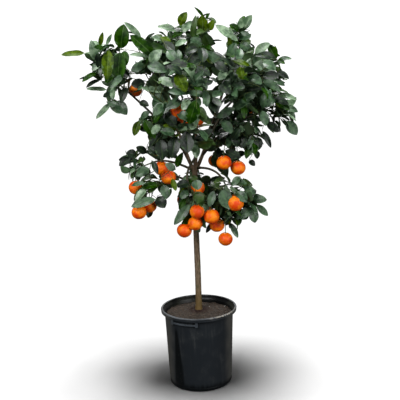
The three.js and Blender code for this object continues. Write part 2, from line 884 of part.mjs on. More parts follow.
function growLeaves(plan, mass, shoots) {
  const random = seededRandom(mass.seed + LEAF_SEED_STEP);
  const leaves = [];
  for (const shoot of shoots) {
    shoot.points = shoot.path.slice(0, -1).flatMap((point, k) => (
      [0, 0.25, 0.5, 0.75, 1].map((t) => point.clone().lerp(shoot.path[k + 1], t))
    ));
  }
  const addLeaf = (leaf, shoot, limited) => {
    leaf.points = leafPoints(leaf);
    leaf.shoot = shoot;
    const fits = (!limited || leaf.points.every((point) => insideReach(mass, point)))
      && isFree(plan, mass, leaf.points, LEAF_MARGIN)
      && !shoots.some((other) => shootClashes(leaf, other))
      && !leaves.some((other) => leavesClash(leaf, other));
    if (fits) {
      leaves.push(leaf);
    }
    return fits;
  };
  const meanReach = (mass.size[0] + mass.size[1] + mass.size[2]) / 3;
  const fit = THREE.MathUtils.clamp(meanReach / LEAF_FULL_REACH, LEAF_SMALLEST, 1);
  const tryLeaf = (shoot, root, along, turn, spread) => {
    const scale = fit * mix(...LEAF_SCALE_RANGE, random());
    for (let attempt = 0; attempt < LEAF_ATTEMPTS; attempt += 1) {
      const open = spread * mix(...LEAF_OPEN_RANGE, random());
      const around = turn + attempt * GOLDEN_ANGLE;
      const direction = leafDirection(along, around, open, LEAF_DROOP * random());
      const leaf = leafFrame(mass, root, direction, random);
      const smaller = scale * (1 - LEAF_SHRINK * attempt);
      leaf.length = LEAF_LENGTH * smaller;
      leaf.width = LEAF_WIDTH * smaller;
      if (addLeaf(leaf, shoot, true)) {
        return;
      }
    }
  };
  for (const shoot of shoots) {
    const end = shoot.path[shoot.path.length - 1];
    if (shoot.tip) {
      const direction = new THREE.Vector3().subVectors(vec(shoot.tip), end).normalize();
      const root = end.clone().addScaledVector(direction, -LEAF_SINK);
      for (let attempt = 0; attempt < LEAF_ATTEMPTS; attempt += 1) {
        const leaf = leafFrame(mass, root, direction, random);
        leaf.length = root.distanceTo(vec(shoot.tip));
        leaf.width = (LEAF_WIDTH / LEAF_LENGTH) * leaf.length;
        if (addLeaf(leaf, shoot, false)) {
          break;
        }
      }
    }
  }
  for (const shoot of shoots) {
    const [first, second, last] = shoot.path;
    const along = new THREE.Vector3().subVectors(last, second).normalize();
    const early = new THREE.Vector3().subVectors(second, first).normalize();
    const turn = random() * 2 * Math.PI;
    if (!shoot.tip) {
      tryLeaf(shoot, last.clone().addScaledVector(along, -LEAF_SINK), along, turn, END_LEAF_OPEN);
    }
    for (const [k, back] of LATE_LEAF_PLACES.entries()) {
      const open = LATE_LEAF_OPEN + LATE_LEAF_STEP * k;
      tryLeaf(shoot, last.clone().lerp(second, back), along, turn + (k + 1) * GOLDEN_ANGLE, open);
    }
    if (!shoot.stem) {
      const root = second.clone().lerp(first, EARLY_LEAF_PLACE);
      tryLeaf(shoot, root, early, turn + 4 * GOLDEN_ANGLE, EARLY_LEAF_OPEN);
    }
  }
  return leaves;
}

// A thin blade with a ridge along its midrib, that is widest a little below its middle.
// Its root is a point sunk to the middle of the shoot.
function leafSolid(leaf) {
  const at = (along, across, lift) => {
    const point = leaf.root.clone().addScaledVector(leaf.direction, along * leaf.length);
    point.addScaledVector(leaf.side, across * leaf.width).addScaledVector(leaf.up, lift);
    return point.toArray();
  };
  const points = [
    at(0, 0, 0),
    at(1, 0, 0),
    at(LEAF_WIDEST, 0.5, -LEAF_THICKNESS),
    at(LEAF_WIDEST, -0.5, -LEAF_THICKNESS),
  ];
  const [root, tip, left, right] = [0, 1, 2, 3];
  const triangles = [
    [root, right, tip],
    [root, tip, left],
    [root, left, right],
    [tip, right, left],
  ];
  return solidOf(geometryOf(points, triangles));
}

function shootSolid(shoot) {
  if (shoot.stem) {
    return solidOf(taperedTube(shoot.path, STEM_RADII, STEM_SIDES));
  }
  if (shoot.short) {
    const ends = [shoot.path[0], shoot.path[2]];
    return solidOf(taperedTube(ends, [SHOOT_RADII[0], SHOOT_RADII[2]], SHOOT_SIDES));
  }
  return solidOf(taperedTube(shoot.path, SHOOT_RADII, SHOOT_SIDES));
}

function orangeSolids(orange) {
  const ball = new THREE.SphereGeometry(ORANGE_RADIUS, ORANGE_SIDES, ORANGE_SIDES / 2);
  ball.rotateX(Math.PI / 2);
  ball.translate(orange.centre.x, orange.centre.y, orange.centre.z);
  const radii = orange.stalk.map(() => STALK_RADIUS);
  return [solidOf(ball), solidOf(taperedTube(orange.stalk, radii, SHOOT_SIDES))];
}

function makeMass(plan, mass) {
  const shoots = growShoots(plan, mass);
  const leaves = growLeaves(plan, mass, shoots);
  const leafy = shoots.filter((shoot) => shoot.stem || leaves.some((leaf) => leaf.shoot === shoot));
  const solids = leafy.map(shootSolid);
  solids.push(...leaves.map(leafSolid));
  for (const orange of mass.oranges) {
    solids.push(...orangeSolids(orange));
  }
  let solid = wasm.Manifold.union(solids);
  for (const limb of plan.limbs.values()) {
    solid = solid.subtract(plan.fatLimbs.get(limb.name));
  }
  return largestPiece(solid);
}

// Each orange hangs from the mass whose space is above it, on a stalk that curves out from
// the stem of that mass and down
function placeOranges() {
  const oranges = ORANGES.map(vec);
  for (const mass of MASSES) {
    mass.oranges = [];
  }
  for (const orange of oranges) {
    const hungFrom = orange.clone().add(new THREE.Vector3(0, 0, HANGING_DROP));
    const rooms = MASSES.map((mass) => roomAt(mass, hungFrom));
    const mass = MASSES[rooms.indexOf(Math.max(...rooms))];
    const stem = growStem(mass);
    const level = orange.z > stem.start.z ? STALK_LEVEL_HIGH : STALK_LEVEL_LOW;
    const root = stem.start.clone().lerp(stem.tip, level);
    const above = orange.clone().add(new THREE.Vector3(0, 0, STALK_ENTRY * ORANGE_RADIUS));
    const control = above.clone();
    control.z = Math.max(above.z + STALK_RISE, mix(above.z, root.z, STALK_ARCH));
    mass.oranges.push({ centre: orange, stalk: bezierPath(root, control, above, 2) });
  }
  return oranges;
}

// Materials

function standard(color, roughness, metalness = 0) {
  return new THREE.MeshStandardMaterial({ color, roughness, metalness, side: THREE.DoubleSide });
}

const potPlastic = standard(0x1c2124, 0.42);
const soilGround = standard(0x3e3732, 0.95);
const bark = standard(0x5f5244, 0.85);
const greenBark = standard(0x4b5a3c, 0.75);
const foliage = standard(0x34503a, 0.5);

// Assembly

const tree = new THREE.Group();

function addPiece(name, solid, material) {
  const mesh = new THREE.Mesh(geometryFrom(solid), material);
  mesh.name = name;
  tree.add(mesh);
}

MASSES.forEach((mass, k) => {
  mass.seed = FIRST_SEED + SEED_STEP * k;
  mass.pull = (MASS_PULL * Math.min(...mass.size)) ** 2;
});

const plan = { limbs: planTree(), oranges: placeOranges(), fatLimbs: new Map() };
plan.stalks = MASSES.flatMap((mass) => mass.oranges.map((orange) => orange.stalk));
for (const limb of plan.limbs.values()) {
  plan.fatLimbs.set(limb.name, limbSolid(limb, GAP));
}

addPiece('pot', makePot(), potPlastic);
addPiece('soil', makeSoil(), soilGround);

// Each limb is cut clear of those before it, so it starts on its parent's surface
const earlier = [];
for (const limb of plan.limbs.values()) {
  let solid = limbSolid(limb);
  for (const name of earlier) {
    solid = solid.subtract(plan.fatLimbs.get(name));
  }
  addPiece(limb.name, largestPiece(solid), limb.name.startsWith('bough') ? greenBark : bark);
  earlier.push(limb.name);
}

for (const mass of MASSES) {
  addPiece(`foliage_${mass.name}`, makeMass(plan, mass), foliage);
}

export default tree;
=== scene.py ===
# %% [markdown]
# # An orange tree in a black nursery pot
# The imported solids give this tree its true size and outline. This lesson dresses them: bark
# with relief on the limbs, a crown that is grown leaf by leaf from the same seeded rule,
# oranges with a dimpled peel, a moulded pot and loose potting soil.
# Lengths in the growth rule are millimetres, as in the part's source, and become metres
# when a mesh is made.

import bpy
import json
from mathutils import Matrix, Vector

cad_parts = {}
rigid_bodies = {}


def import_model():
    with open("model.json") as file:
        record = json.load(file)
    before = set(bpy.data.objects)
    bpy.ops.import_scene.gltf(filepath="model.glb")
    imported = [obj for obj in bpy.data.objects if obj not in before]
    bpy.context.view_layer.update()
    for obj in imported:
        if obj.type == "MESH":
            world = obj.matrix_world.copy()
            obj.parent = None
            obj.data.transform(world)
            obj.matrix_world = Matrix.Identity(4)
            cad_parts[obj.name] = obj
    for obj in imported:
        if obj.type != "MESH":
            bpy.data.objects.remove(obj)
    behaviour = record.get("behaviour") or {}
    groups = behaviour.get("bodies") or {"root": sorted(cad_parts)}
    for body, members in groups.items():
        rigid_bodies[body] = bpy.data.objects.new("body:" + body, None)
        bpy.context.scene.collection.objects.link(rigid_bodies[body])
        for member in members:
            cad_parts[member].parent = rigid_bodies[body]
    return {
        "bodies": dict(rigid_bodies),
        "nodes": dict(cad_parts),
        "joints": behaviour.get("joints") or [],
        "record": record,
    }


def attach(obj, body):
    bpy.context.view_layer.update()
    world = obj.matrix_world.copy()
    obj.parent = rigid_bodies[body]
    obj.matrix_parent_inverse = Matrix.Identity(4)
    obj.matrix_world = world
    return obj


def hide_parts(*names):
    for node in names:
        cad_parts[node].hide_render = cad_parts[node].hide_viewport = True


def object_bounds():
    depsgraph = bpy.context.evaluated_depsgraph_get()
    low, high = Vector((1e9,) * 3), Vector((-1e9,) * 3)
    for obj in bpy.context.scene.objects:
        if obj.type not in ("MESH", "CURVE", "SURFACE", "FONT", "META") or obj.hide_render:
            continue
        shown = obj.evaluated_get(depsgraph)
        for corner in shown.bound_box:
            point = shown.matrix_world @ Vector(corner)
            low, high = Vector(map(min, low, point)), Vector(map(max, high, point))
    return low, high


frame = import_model()
CAD_BOX = [list(corner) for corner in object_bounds()]

import json
import math

import bpy
import numpy as np
from mathutils import Matrix, Vector

FOLIAGE = [name for name in frame["nodes"] if name.startswith("foliage_")]
BOUGHS = [name for name in frame["nodes"] if name.startswith("bough_")]
MAIN_LIMBS = [name for name in frame["nodes"] if name.startswith("limb_")]
print(len(FOLIAGE), "masses,", len(BOUGHS), "boughs,", len(MAIN_LIMBS), "main limbs in", CAD_BOX)

# %% [markdown]
# ## Camera
# A camera can be set by eye, or worked out from something of known shape. The pot's rim and
# foot are circles, so the two ellipses they make in the picture fix the eye's height, its
# distance, how far it looks down and the slight turn of the frame. A point that is read off
# the picture can then be put on its line of sight, at a depth that the tree gives.

# %% Camera
PICTURE = 400
FOCAL = 693
EYE = Vector((0.020, -2.800, 1.309))
LOOKS_DOWN = math.radians(10.65)
FRAME_TURN = math.radians(1.85)
SENSOR = 36

scene = bpy.context.scene


def in_scene(name, data):
    """A new object of this data, linked to the scene."""
    item = bpy.data.objects.new(name, data)
    scene.collection.objects.link(item)
    return item


camera_data = bpy.data.cameras.new("camera")
camera_data.sensor_width = SENSOR
camera_data.lens = SENSOR * FOCAL / PICTURE
camera = in_scene("camera", camera_data)
aim = Matrix.Rotation(math.pi / 2 - LOOKS_DOWN, 4, "X") @ Matrix.Rotation(-FRAME_TURN, 4, "Z")
camera.matrix_world = Matrix.Translation(EYE) @ aim
scene.camera = camera
LOOK = aim.to_3x3()


def seen_at(u, v, depth):
    """The point in millimetres that shows at pixel (u, v), with this Y."""
    ray = LOOK @ Vector(((u - PICTURE / 2) / FOCAL, (PICTURE / 2 - v) / FOCAL, -1))
    reach = (depth / 1000 - EYE.y) / ray.y
    return np.array(EYE + ray * reach) * 1000


foot = seen_at(200, 385, 0).round()
print("lens", round(camera_data.lens, 2), "mm; the pot's foot shows near", foot)

# %% [markdown]
# ## Floor and light
# The tree stands on white. A bright, broad lamp straight above makes the soft dark pool round
# the pot, because the crown and the pot hide that lamp from the floor. Softboxes in front
# give the leaves their sheen. Those are kept off the floor by light linking, so they don't
# wash the pool away. The sky is dim for the tree and white for the camera.

# %% Floor and light
FLOOR_SIZE = 60
FLOOR_BELOW = 0.0002
FLOOR_LOOK = {"Base Color": (0.7, 0.7, 0.7, 1), "Roughness": 0.9, "Specular IOR Level": 0}
SKY_LEVELS = {"dim": 0.08, "white": 1.2}
scene.view_settings.view_transform = "Standard"
scene.view_settings.look = "None"

bpy.ops.mesh.primitive_plane_add(size=FLOOR_SIZE)
floor = bpy.context.object
floor.name = "floor"
floor.location.z = min(CAD_BOX[0][2], 0) - FLOOR_BELOW
floor_finish = bpy.data.materials.new("floor_white")
floor_finish.use_nodes = True
for name, value in FLOOR_LOOK.items():
    floor_finish.node_tree.nodes["Principled BSDF"].inputs[name].default_value = value
floor.data.materials.append(floor_finish)
floor.visible_diffuse = False
floor.visible_glossy = False

world = bpy.data.worlds.new("studio")
scene.world = world
world.use_nodes = True
sky = world.node_tree
sky.nodes.clear()
sky_parts = {}
for name, level in SKY_LEVELS.items():
    sky_parts[name] = sky.nodes.new("ShaderNodeBackground")
    sky_parts[name].inputs["Strength"].default_value = level
    sky_parts[name].inputs["Color"].default_value = (1, 1, 1, 1)
ray_kind = sky.nodes.new("ShaderNodeLightPath")
chosen = sky.nodes.new("ShaderNodeMixShader")
sky_output = sky.nodes.new("ShaderNodeOutputWorld")
joins = (ray_kind.outputs["Is Camera Ray"], sky_parts["dim"].outputs[0],
         sky_parts["white"].outputs[0])
for number, socket in enumerate(joins):
    sky.links.new(socket, chosen.inputs[number])
sky.links.new(chosen.outputs[0], sky_output.inputs[0])

no_floor = bpy.data.collections.new("not_on_floor")
no_floor.objects.link(floor)
for item in no_floor.collection_objects:
    item.light_linking.link_state = "EXCLUDE"


SUN_BREADTH = math.radians(21)
SOFTBOX_SIZE = 2.0
LAMPS = [
    ("overhead", "SUN", 4.6, (0.1, 0.02, 4), (0, 0, 0)),
    ("softbox_left", "AREA", 166, (-2.0, -3.0, 3.0), (0, 0, 1.0)),
    ("softbox_right", "AREA", 98, (2.6, -2.6, 1.8), (0, 0, 0.9)),
    ("softbox_back", "AREA", 90, (0.4, 3.2, 2.6), (0, 0, 1.0)),
]
for name, kind, power, place, target in LAMPS:
    data = bpy.data.lights.new(name, kind)
    data.energy = power
    lamp = in_scene(name, data)
    lamp.location = place
    lamp.rotation_euler = (Vector(target) - Vector(place)).to_track_quat("-Z", "Y").to_euler()
    if kind == "SUN":
        data.angle = SUN_BREADTH
    else:
        data.size = SOFTBOX_SIZE
        lamp.light_linking.receiver_collection = no_floor
print("lamps:", [row[0] for row in LAMPS])

# %% [markdown]
# ## Finishes
# A finish is a small sum of noises and masks. Wiring those by hand hides the idea, so a
# socket is wrapped in a class that knows plain arithmetic: an expression on values adds its
# Math nodes. One method makes every other node.

# %% Shader sums
class Value:
    """A shader socket that can be used in sums."""

    def __init__(self, shader, socket):
        self.shader = shader
        self.socket = socket

    def maths(self, operation, *others):
        inputs = dict(enumerate((self, *others)))
        return self.shader.node("ShaderNodeMath", {"operation": operation}, inputs)

    def __add__(self, other):
        return self.maths("ADD", other)

    def __mul__(self, other):
        return self.maths("MULTIPLY", other)

    def __sub__(self, other):
        return self.maths("SUBTRACT", other)

    def __rsub__(self, other):
        return self.shader.node("ShaderNodeMath", {"operation": "SUBTRACT"}, {0: other, 1: self})

    __radd__ = __add__
    __rmul__ = __mul__

    def rise(self, low, high):
        """0 below low, 1 above high, and a smooth step between."""
        settings = {"interpolation_type": "SMOOTHSTEP"}
        inputs = {"Value": self, "From Min": low, "From Max": high}
        return self.shader.node("ShaderNodeMapRange", settings, inputs)


class Shader:
    """The nodes of one finish."""

    def __init__(self, name):
        self.material = bpy.data.materials.new(name)
        self.material.use_nodes = True
        self.tree = self.material.node_tree
        self.tree.nodes.clear()
        self.place = self.node("ShaderNodeTexCoord", out="Object")

    def node(self, kind, settings=None, inputs=None, out=0):
        node = self.tree.nodes.new(kind)
        for name, value in (settings or {}).items():
            setattr(node, name, value)
        for name, value in (inputs or {}).items():
            if isinstance(value, Value):
                self.tree.links.new(value.socket, node.inputs[name])
            else:
                node.inputs[name].default_value = value
        return Value(self, node.outputs[out])

    def mix(self, factor, first, second):
        """A colour between two colours."""
        inputs = {0: factor, 6: first, 7: second}
        return self.node("ShaderNodeMix", {"data_type": "RGBA"}, inputs, out=2)

    def noise(self, size, detail=2, stretch=(1, 1, 1), rough=0.5):
        """Soft noise whose grains are about this many metres across."""
        place = self.place
        if stretch != (1, 1, 1):
            inputs = {"Vector": self.place, "Scale": tuple(1 / k for k in stretch)}
            place = self.node("ShaderNodeMapping", None, inputs)
        inputs = {"Vector": place, "Scale": 1 / size, "Detail": detail, "Roughness": rough}
        return self.node("ShaderNodeTexNoise", None, inputs)

    def axis(self, name):
        return self.node("ShaderNodeSeparateXYZ", None, {0: self.place}, out=name)

    def bump(self, height, distance, strength=1.0):
        inputs = {"Height": height, "Distance": distance, "Strength": strength}
        return self.node("ShaderNodeBump", None, inputs)

    def finish(self, tint, roughness, relief, gloss):
        """Ends the finish in a Principled surface."""
        named = {"Base Color": tint, "Roughness": roughness, "Normal": relief,
                 "Specular IOR Level": gloss}
        surface = self.node("ShaderNodeBsdfPrincipled", None, named)
        output = self.tree.nodes.new("ShaderNodeOutputMaterial")
        self.tree.links.new(surface.socket, output.inputs["Surface"])
        return self.material


def colour(red, green, blue):
    """A colour from how it looks on a screen, 0 to 255, as Blender's linear light."""
    def linear(level):
        level /= 255
        return level / 12.92 if level <= 0.04045 else ((level + 0.055) / 1.055) ** 2.4
    return (linear(red), linear(green), linear(blue), 1)


print("a leaf's middle green in linear light:", [round(v, 3) for v in colour(66, 94, 64)])

# %% [markdown]
# ## The growth rule
# A tree could be modelled limb by limb, but this one has some two thousand leaves. So the
# rule of the part's source is written again here: the same seeds give the same limbs, the
# same stems and the same shoots, and this lesson only carries them on to finer twigs. First
# come the small tools: directions, curves, and numbers that look random but repeat.

# %% Numbers and directions
GOLDEN_ANGLE = math.pi * (3 - math.sqrt(5))
FULL_TURN = 2 * math.pi
MASK = 0xFFFFFFFF
UP = np.array((0.0, 0.0, 1.0))


def point(values):
    return np.array(values, float)


def unit(vector):
    return vector / np.linalg.norm(vector)


def mix(a, b, t):
    return a + (b - a) * t


def seeded_random(seed):
    """Repeatable numbers from 0 to 1, the same as in the part's source."""
    state = seed & MASK

    def draw():
        nonlocal state
        state = (state + 0x6D2B79F5) & MASK
        mixed = (state ^ (state >> 15)) * (state | 1) & MASK
        mixed ^= (mixed + ((mixed ^ (mixed >> 7)) * (mixed | 61) & MASK)) & MASK
        return ((mixed ^ (mixed >> 14)) & MASK) / (MASK + 1)

    return draw


def square_to(direction):
    """Any direction square to this one, always the same for the same direction."""
    helper = point((0, 1, 0)) if abs(direction[2]) > 0.9 else UP
    return unit(np.cross(direction, helper))


def side_of(along, turn):
    """A direction square to this one, turned round it by an angle."""
    across = square_to(along)
    return math.cos(turn) * across + math.sin(turn) * np.cross(along, across)


def open_from(along, turn, spread):
    """The direction that stands off this one by an angle, turned round it."""
    return along * math.cos(spread) + side_of(along, turn) * math.sin(spread)


def cubic(points, t):
    a, b, c, d = points
    s = 1 - t
    return s**3 * a + 3 * s * s * t * b + 3 * s * t * t * c + t**3 * d


def quadratic(points, t):
    a, b, c = points
    s = 1 - t
    return s * s * a + 2 * s * t * b + t * t * c


FIRST_SEED, SEED_STEP = 1000, 37
first_draws = seeded_random(FIRST_SEED)
print("the first mass starts with", [round(first_draws(), 4) for _ in range(3)])

# %% [markdown]
# ## Trunk, main limbs and masses of foliage
# The trunk runs from its flat cut on the soil to the fork. Three main limbs carry the crown,
# and a bough leaves them for each mass of foliage. A mass is a centre, a reach along each
# axis, the limb that carries it, the bough's place and arch on that limb, a count of shoots,
# and the furthest leaf tips.

# %% Trunk, limbs and masses
GAP = 0.3
LIMB_STEPS = 24
TRUNK = [(0, 26, 300.3), (4, 26, 500), (-5, 18, 720), (3, 21, 905)]
TRUNK_RADII = (13.6, 10.8)
FLARE_RADIUS = 17
FLARE_HEIGHT = 36
LIMBS = [
    ("limb_centre", 1.0, [(14, 12, 1010), (14, -6, 1120), (38, -26, 1335)], (8.6, 4.6)),
    ("limb_left", 0.97, [(-32, 16, 975), (-60, 6, 1080), (-128, -34, 1262)], (8.2, 4.4)),
    ("limb_right", 0.985, [(52, 22, 985), (84, 24, 1100), (160, 2, 1318)], (8.4, 4.5)),
]
BOUGH_RADII = (5.2, 3.6)
MASSES = [
    ("left_clump", (-325, -30, 1300), (115, 130, 165), "limb_left", 0.42, (-10, -6, 20), 8,
     [(-501, -30, 1382), (-377, -40, 1134), (-333, -50, 1463), (-424, -60, 1272)]),
    ("left_top", (-190, -50, 1376), (105, 125, 130), "limb_left", 1, None, 7,
     [(-250, -60, 1486)]),
    ("top_left", (-58, -5, 1402), (120, 135, 110), "limb_centre", 0.72, (-16, 16, 14), 7,
     [(-7, -20, 1530)]),
    ("top", (52, -40, 1418), (100, 130, 120), "limb_centre", 1, None, 7, [(21, -40, 1547)]),
    ("right_top", (178, 0, 1392), (105, 135, 130), "limb_right", 1, None, 7,
     [(247, 0, 1513)]),
    ("right_outer", (282, -40, 1300), (110, 130, 130), "limb_right", 0.62, (16, -10, 16), 8,
     [(398, -30, 1338), (385, -40, 1262)]),
    ("right_low_outer", (306, -60, 1152), (120, 135, 120), "limb_right", 0.34, (20, -14, 30), 8,
     [(412, -60, 1047), (413, -60, 1176)]),
    ("right_low", (190, -70, 1060), (135, 140, 115), "limb_right", 0.24, (10, -10, 34), 7,
     [(308, -60, 994)]),
    ("right_mid", (172, -165, 1255), (140, 140, 140), "limb_right", 0.5, (-6, -30, 20), 8, []),
    ("front", (14, -225, 1245), (140, 135, 140), "limb_centre", 0.5, (-8, -40, 24), 8, []),
    ("left_mid", (-138, -160, 1218), (125, 130, 130), "limb_left", 0.62, (8, -26, 16), 7, []),
    ("left_low", (-145, -62, 1078), (95, 115, 120), "limb_left", 0.3, (-8, -8, 22), 7,
     [(-228, -60, 1063)]),
    ("centre_low", (-34, -150, 1068), (135, 130, 120), "limb_centre", 0.24, (-10, -20, 26), 7, []),
    ("low_left_outer", (-217, -30, 930), (95, 110, 100), "limb_left", 0.06, (-10, 0, 34), 8,
     [(-300, -40, 943)]),
    ("low_left", (-160, -82, 860), (110, 125, 115), "trunk", 0.9, (-10, -10, 30), 9,
     [(-120, -90, 772)]),
    ("low_centre", (4, -105, 800), (110, 120, 140), "limb_centre", 0.16, (-34, -46, 16), 9,
     [(-91, -100, 703)]),
    ("low_right", (148, -88, 800), (130, 135, 135), "limb_right", 0.06, (14, -30, 46), 8,
     [(287, -90, 791), (290, -90, 725)]),
    ("back_left", (-190, 200, 1290), (170, 160, 165), "limb_left", 0.55, (-6, 34, 10), 8, []),
    ("back_top", (40, 200, 1362), (160, 160, 160), "limb_centre", 0.42, (-4, 50, 30), 8, []),
    ("back_right", (230, 190, 1225), (165, 165, 170), "limb_right", 0.44, (4, 40, 20), 8, []),
    ("back_low_left", (-120, 190, 1060), (150, 150, 140), "limb_left", 0.14, (-10, 30, 26), 7, []),
    ("back_low_right", (130, 220, 1000), (160, 150, 160), "limb_right", 0.18, (0, 50, 24), 7, []),
    ("back_low", (-10, 165, 800), (150, 135, 140), "trunk", 0.86, (-4, 20, 34), 7, []),
]
MASS_PULL = 0.9
BOUGH_BENDS = (0.3, 0.6)
BOUGH_END_RUN = 0.25
BOUGH_ENTRY = 0.6
STEM_PAST_CENTRE = 0.22


class Limb:
    """A tapering limb on a cubic curve, with points along it and their radii."""

    def __init__(self, name, points, radius_at):
        self.name = name
        self.curve = [point(p) for p in points]
        self.radius_at = radius_at
        steps = [k / LIMB_STEPS for k in range(LIMB_STEPS + 1)]
        self.path = np.array([self.at(t) for t in steps])
        self.radii = np.array([radius_at(t) for t in steps])

    def at(self, t):
        return cubic(self.curve, t)


class Mass:
    """A mass of foliage: its centre, its reach, its bough and its own seed."""

    def __init__(self, row, number):
        self.name, centre, size, self.parent, self.place, self.arch, self.count, tips = row
        self.centre = point(centre)
        self.size = point(size)
        self.tips = [point(tip) for tip in tips]
        self.seed = FIRST_SEED + SEED_STEP * number
        self.pull = (MASS_PULL * self.size.min()) ** 2
        self.stalks = []


def trunk_radius(t):
    height = t * (TRUNK[3][2] - TRUNK[0][2])
    flare = max(0, 1 - height / FLARE_HEIGHT) ** 2
    return mix(*TRUNK_RADII, t) + flare * (FLARE_RADIUS - TRUNK_RADII[0])


def tapering(radii):
    return lambda t: mix(*radii, t)


def grow_bough(limbs, mass):
    start = limbs[mass.parent].at(mass.place)
    arch = point(mass.arch)
    first, second = (mix(start, mass.centre, bend) + arch for bend in BOUGH_BENDS)
    inward = unit(second - mass.centre)
    end = mass.centre + inward * BOUGH_ENTRY * mass.size.min()
    second = end + inward * BOUGH_END_RUN * np.linalg.norm(end - start)
    return Limb("bough_" + mass.name, [start, first, second, end], tapering(BOUGH_RADII))


def grow_limbs(masses):
    limbs = {"trunk": Limb("trunk", TRUNK, trunk_radius)}
    for name, place, points, radii in LIMBS:
        limbs[name] = Limb(name, [limbs["trunk"].at(place), *points], tapering(radii))
    for mass in masses:
        mass.bough = limbs[mass.parent] if mass.place == 1 else grow_bough(limbs, mass)
        limbs[mass.bough.name] = mass.bough
    return limbs


masses = [Mass(row, number) for number, row in enumerate(MASSES)]
limbs = grow_limbs(masses)
print(len(limbs), "limbs carry", len(masses), "masses of foliage")

# %% [markdown]
# ## Whose space is it?
# Neighbouring masses share the crown without touching. Each one owns the points that are
# nearer to its own centre than to any other, weighed by its reach, so a soap-film wall runs
# between every two. `room_in` says how far inside those walls a point lies.

# %% Space of a mass
CROWN_MIDDLE = (0, 70, 1080)
INWARD_REACH = 0.6


def room_in(mass, points):
    points = np.atleast_2d(points)
    own = ((points - mass.centre) ** 2).sum(1) - mass.pull
    room = np.full(len(points), np.inf)
    for other in masses:
        if other is not mass:
            away = np.linalg.norm(other.centre - mass.centre)
            theirs = ((points - other.centre) ** 2).sum(1) - other.pull
            room = np.minimum(room, (theirs - own) / (2 * away))
    return room


def mass_round(place):
    """The mass whose space this point is in."""
    return max(masses, key=lambda mass: room_in(mass, place)[0])


def inside_reach(mass, points, margin):
    """Whether points lie within a mass's reach, which is longer towards the crown's middle."""
    scaled = (np.atleast_2d(points) - mass.centre) / mass.size
    inward = scaled[:, 1] * (CROWN_MIDDLE[1] - mass.centre[1]) > 0
    scaled[inward, 1] *= INWARD_REACH
    return bool(((scaled**2).sum(1) <= margin).all())


def grow_stem(mass):
    """Start, tip and direction of the stem that goes on from a mass's bough."""
    end = mass.bough.at(1)
    along = unit(mass.centre - end)
    reach = np.linalg.norm(mass.centre - end) + STEM_PAST_CENTRE * mass.size.min()
    return end + along * GAP, end + along * reach, along


print("room at each centre:", [int(room_in(mass, mass.centre)[0]) for mass in masses])

# %% [markdown]
# ## Windows of sky
# The crown isn't a solid ball: light comes through it in many places. Each window is the
# ellipse in a box that was read off the picture. Twigs and leaves that would cross one, seen
# from the camera, aren't grown, neither in front of its depth nor behind it.

# %% Windows of sky
WINDOW_DEPTH = -60
WINDOW_SHARE = 0.52
SMALLEST_HALF = 7
WINDOW_BOXES = [
    (132, 42, 148, 55), (130, 57, 145, 62), (131, 74, 150, 79), (131, 79, 137, 91),
    (140, 92, 153, 115), (128, 95, 138, 118), (211, 77, 216, 80), (209, 84, 220, 90),
    (217, 96, 225, 99), (224, 105, 234, 109), (267, 108, 272, 111), (168, 137, 172, 141),
    (177, 143, 180, 151), (182, 150, 192, 165), (200, 150, 203, 165), (203, 155, 212, 178),
    (180, 168, 186, 178), (145, 160, 152, 170), (155, 170, 161, 178), (222, 145, 227, 153),
    (234, 149, 244, 154), (168, 190, 178, 222), (211, 36, 227, 41), (216, 44, 227, 50),
    (84, 66, 90, 75), (96, 91, 103, 100), (103, 38, 108, 44), (93, 82, 100, 88),
    (210, 31, 222, 37), (99, 92, 107, 105), (72, 57, 90, 72), (86, 78, 96, 84), (101, 85, 107, 89),
    (84, 92, 102, 106), (102, 108, 116, 122), (112, 116, 130, 146), (115, 94, 119, 101),
    (127, 46, 138, 53), (128, 28, 136, 35), (138, 12, 157, 33), (152, 33, 158, 37),
    (159, 10, 168, 24), (170, 23, 177, 28), (184, 19, 190, 26), (175, 42, 185, 47),
    (144, 77, 149, 83), (129, 63, 134, 69), (142, 112, 147, 117), (103, 33, 107, 42),
    (109, 38, 114, 46), (90, 28, 98, 39), (188, 5, 197, 16), (202, 4, 212, 12), (208, 14, 214, 19),
    (214, 8, 238, 22), (222, 24, 230, 28), (212, 33, 226, 41), (215, 44, 226, 50),
    (213, 53, 222, 56), (192, 28, 195, 31), (198, 105, 206, 110), (252, 22, 270, 44),
    (251, 34, 258, 47), (276, 38, 292, 55), (279, 64, 292, 71), (283, 84, 297, 93),
    (291, 102, 301, 109), (135, 131, 148, 145), (120, 136, 138, 148), (143, 140, 150, 146),
    (137, 155, 144, 159), (154, 165, 158, 171), (113, 169, 128, 197), (153, 191, 159, 195),
    (155, 199, 159, 206), (152, 210, 174, 232), (172, 190, 180, 197), (176, 180, 180, 185),
    (171, 131, 175, 136), (155, 128, 159, 133), (200, 122, 206, 127), (207, 135, 211, 138),
    (260, 125, 267, 130), (279, 126, 285, 133), (272, 134, 290, 148), (277, 123, 284, 128),
    (262, 144, 270, 158), (259, 149, 264, 156), (250, 153, 254, 159), (247, 166, 271, 185),
    (228, 168, 232, 174), (238, 175, 246, 180), (257, 183, 269, 192), (258, 211, 264, 224),
    (239, 220, 251, 236),
]


def window_row(box):
    """Middle and half sizes of the ellipse in a box of the picture, at the windows' depth."""
    left, top, right, bottom = box
    u, v = (left + right) / 2, (top + bottom) / 2
    middle = seen_at(u, v, WINDOW_DEPTH)
    across = seen_at(right, v, WINDOW_DEPTH) - seen_at(left, v, WINDOW_DEPTH)
    high = seen_at(u, top, WINDOW_DEPTH) - seen_at(u, bottom, WINDOW_DEPTH)
    halves = (max(SMALLEST_HALF, WINDOW_SHARE * size) for size in (across[0], high[2]))
    return middle[0], middle[2], *halves


WINDOWS = np.array([window_row(box) for box in WINDOW_BOXES])
VIEWPOINT = np.array(EYE) * 1000


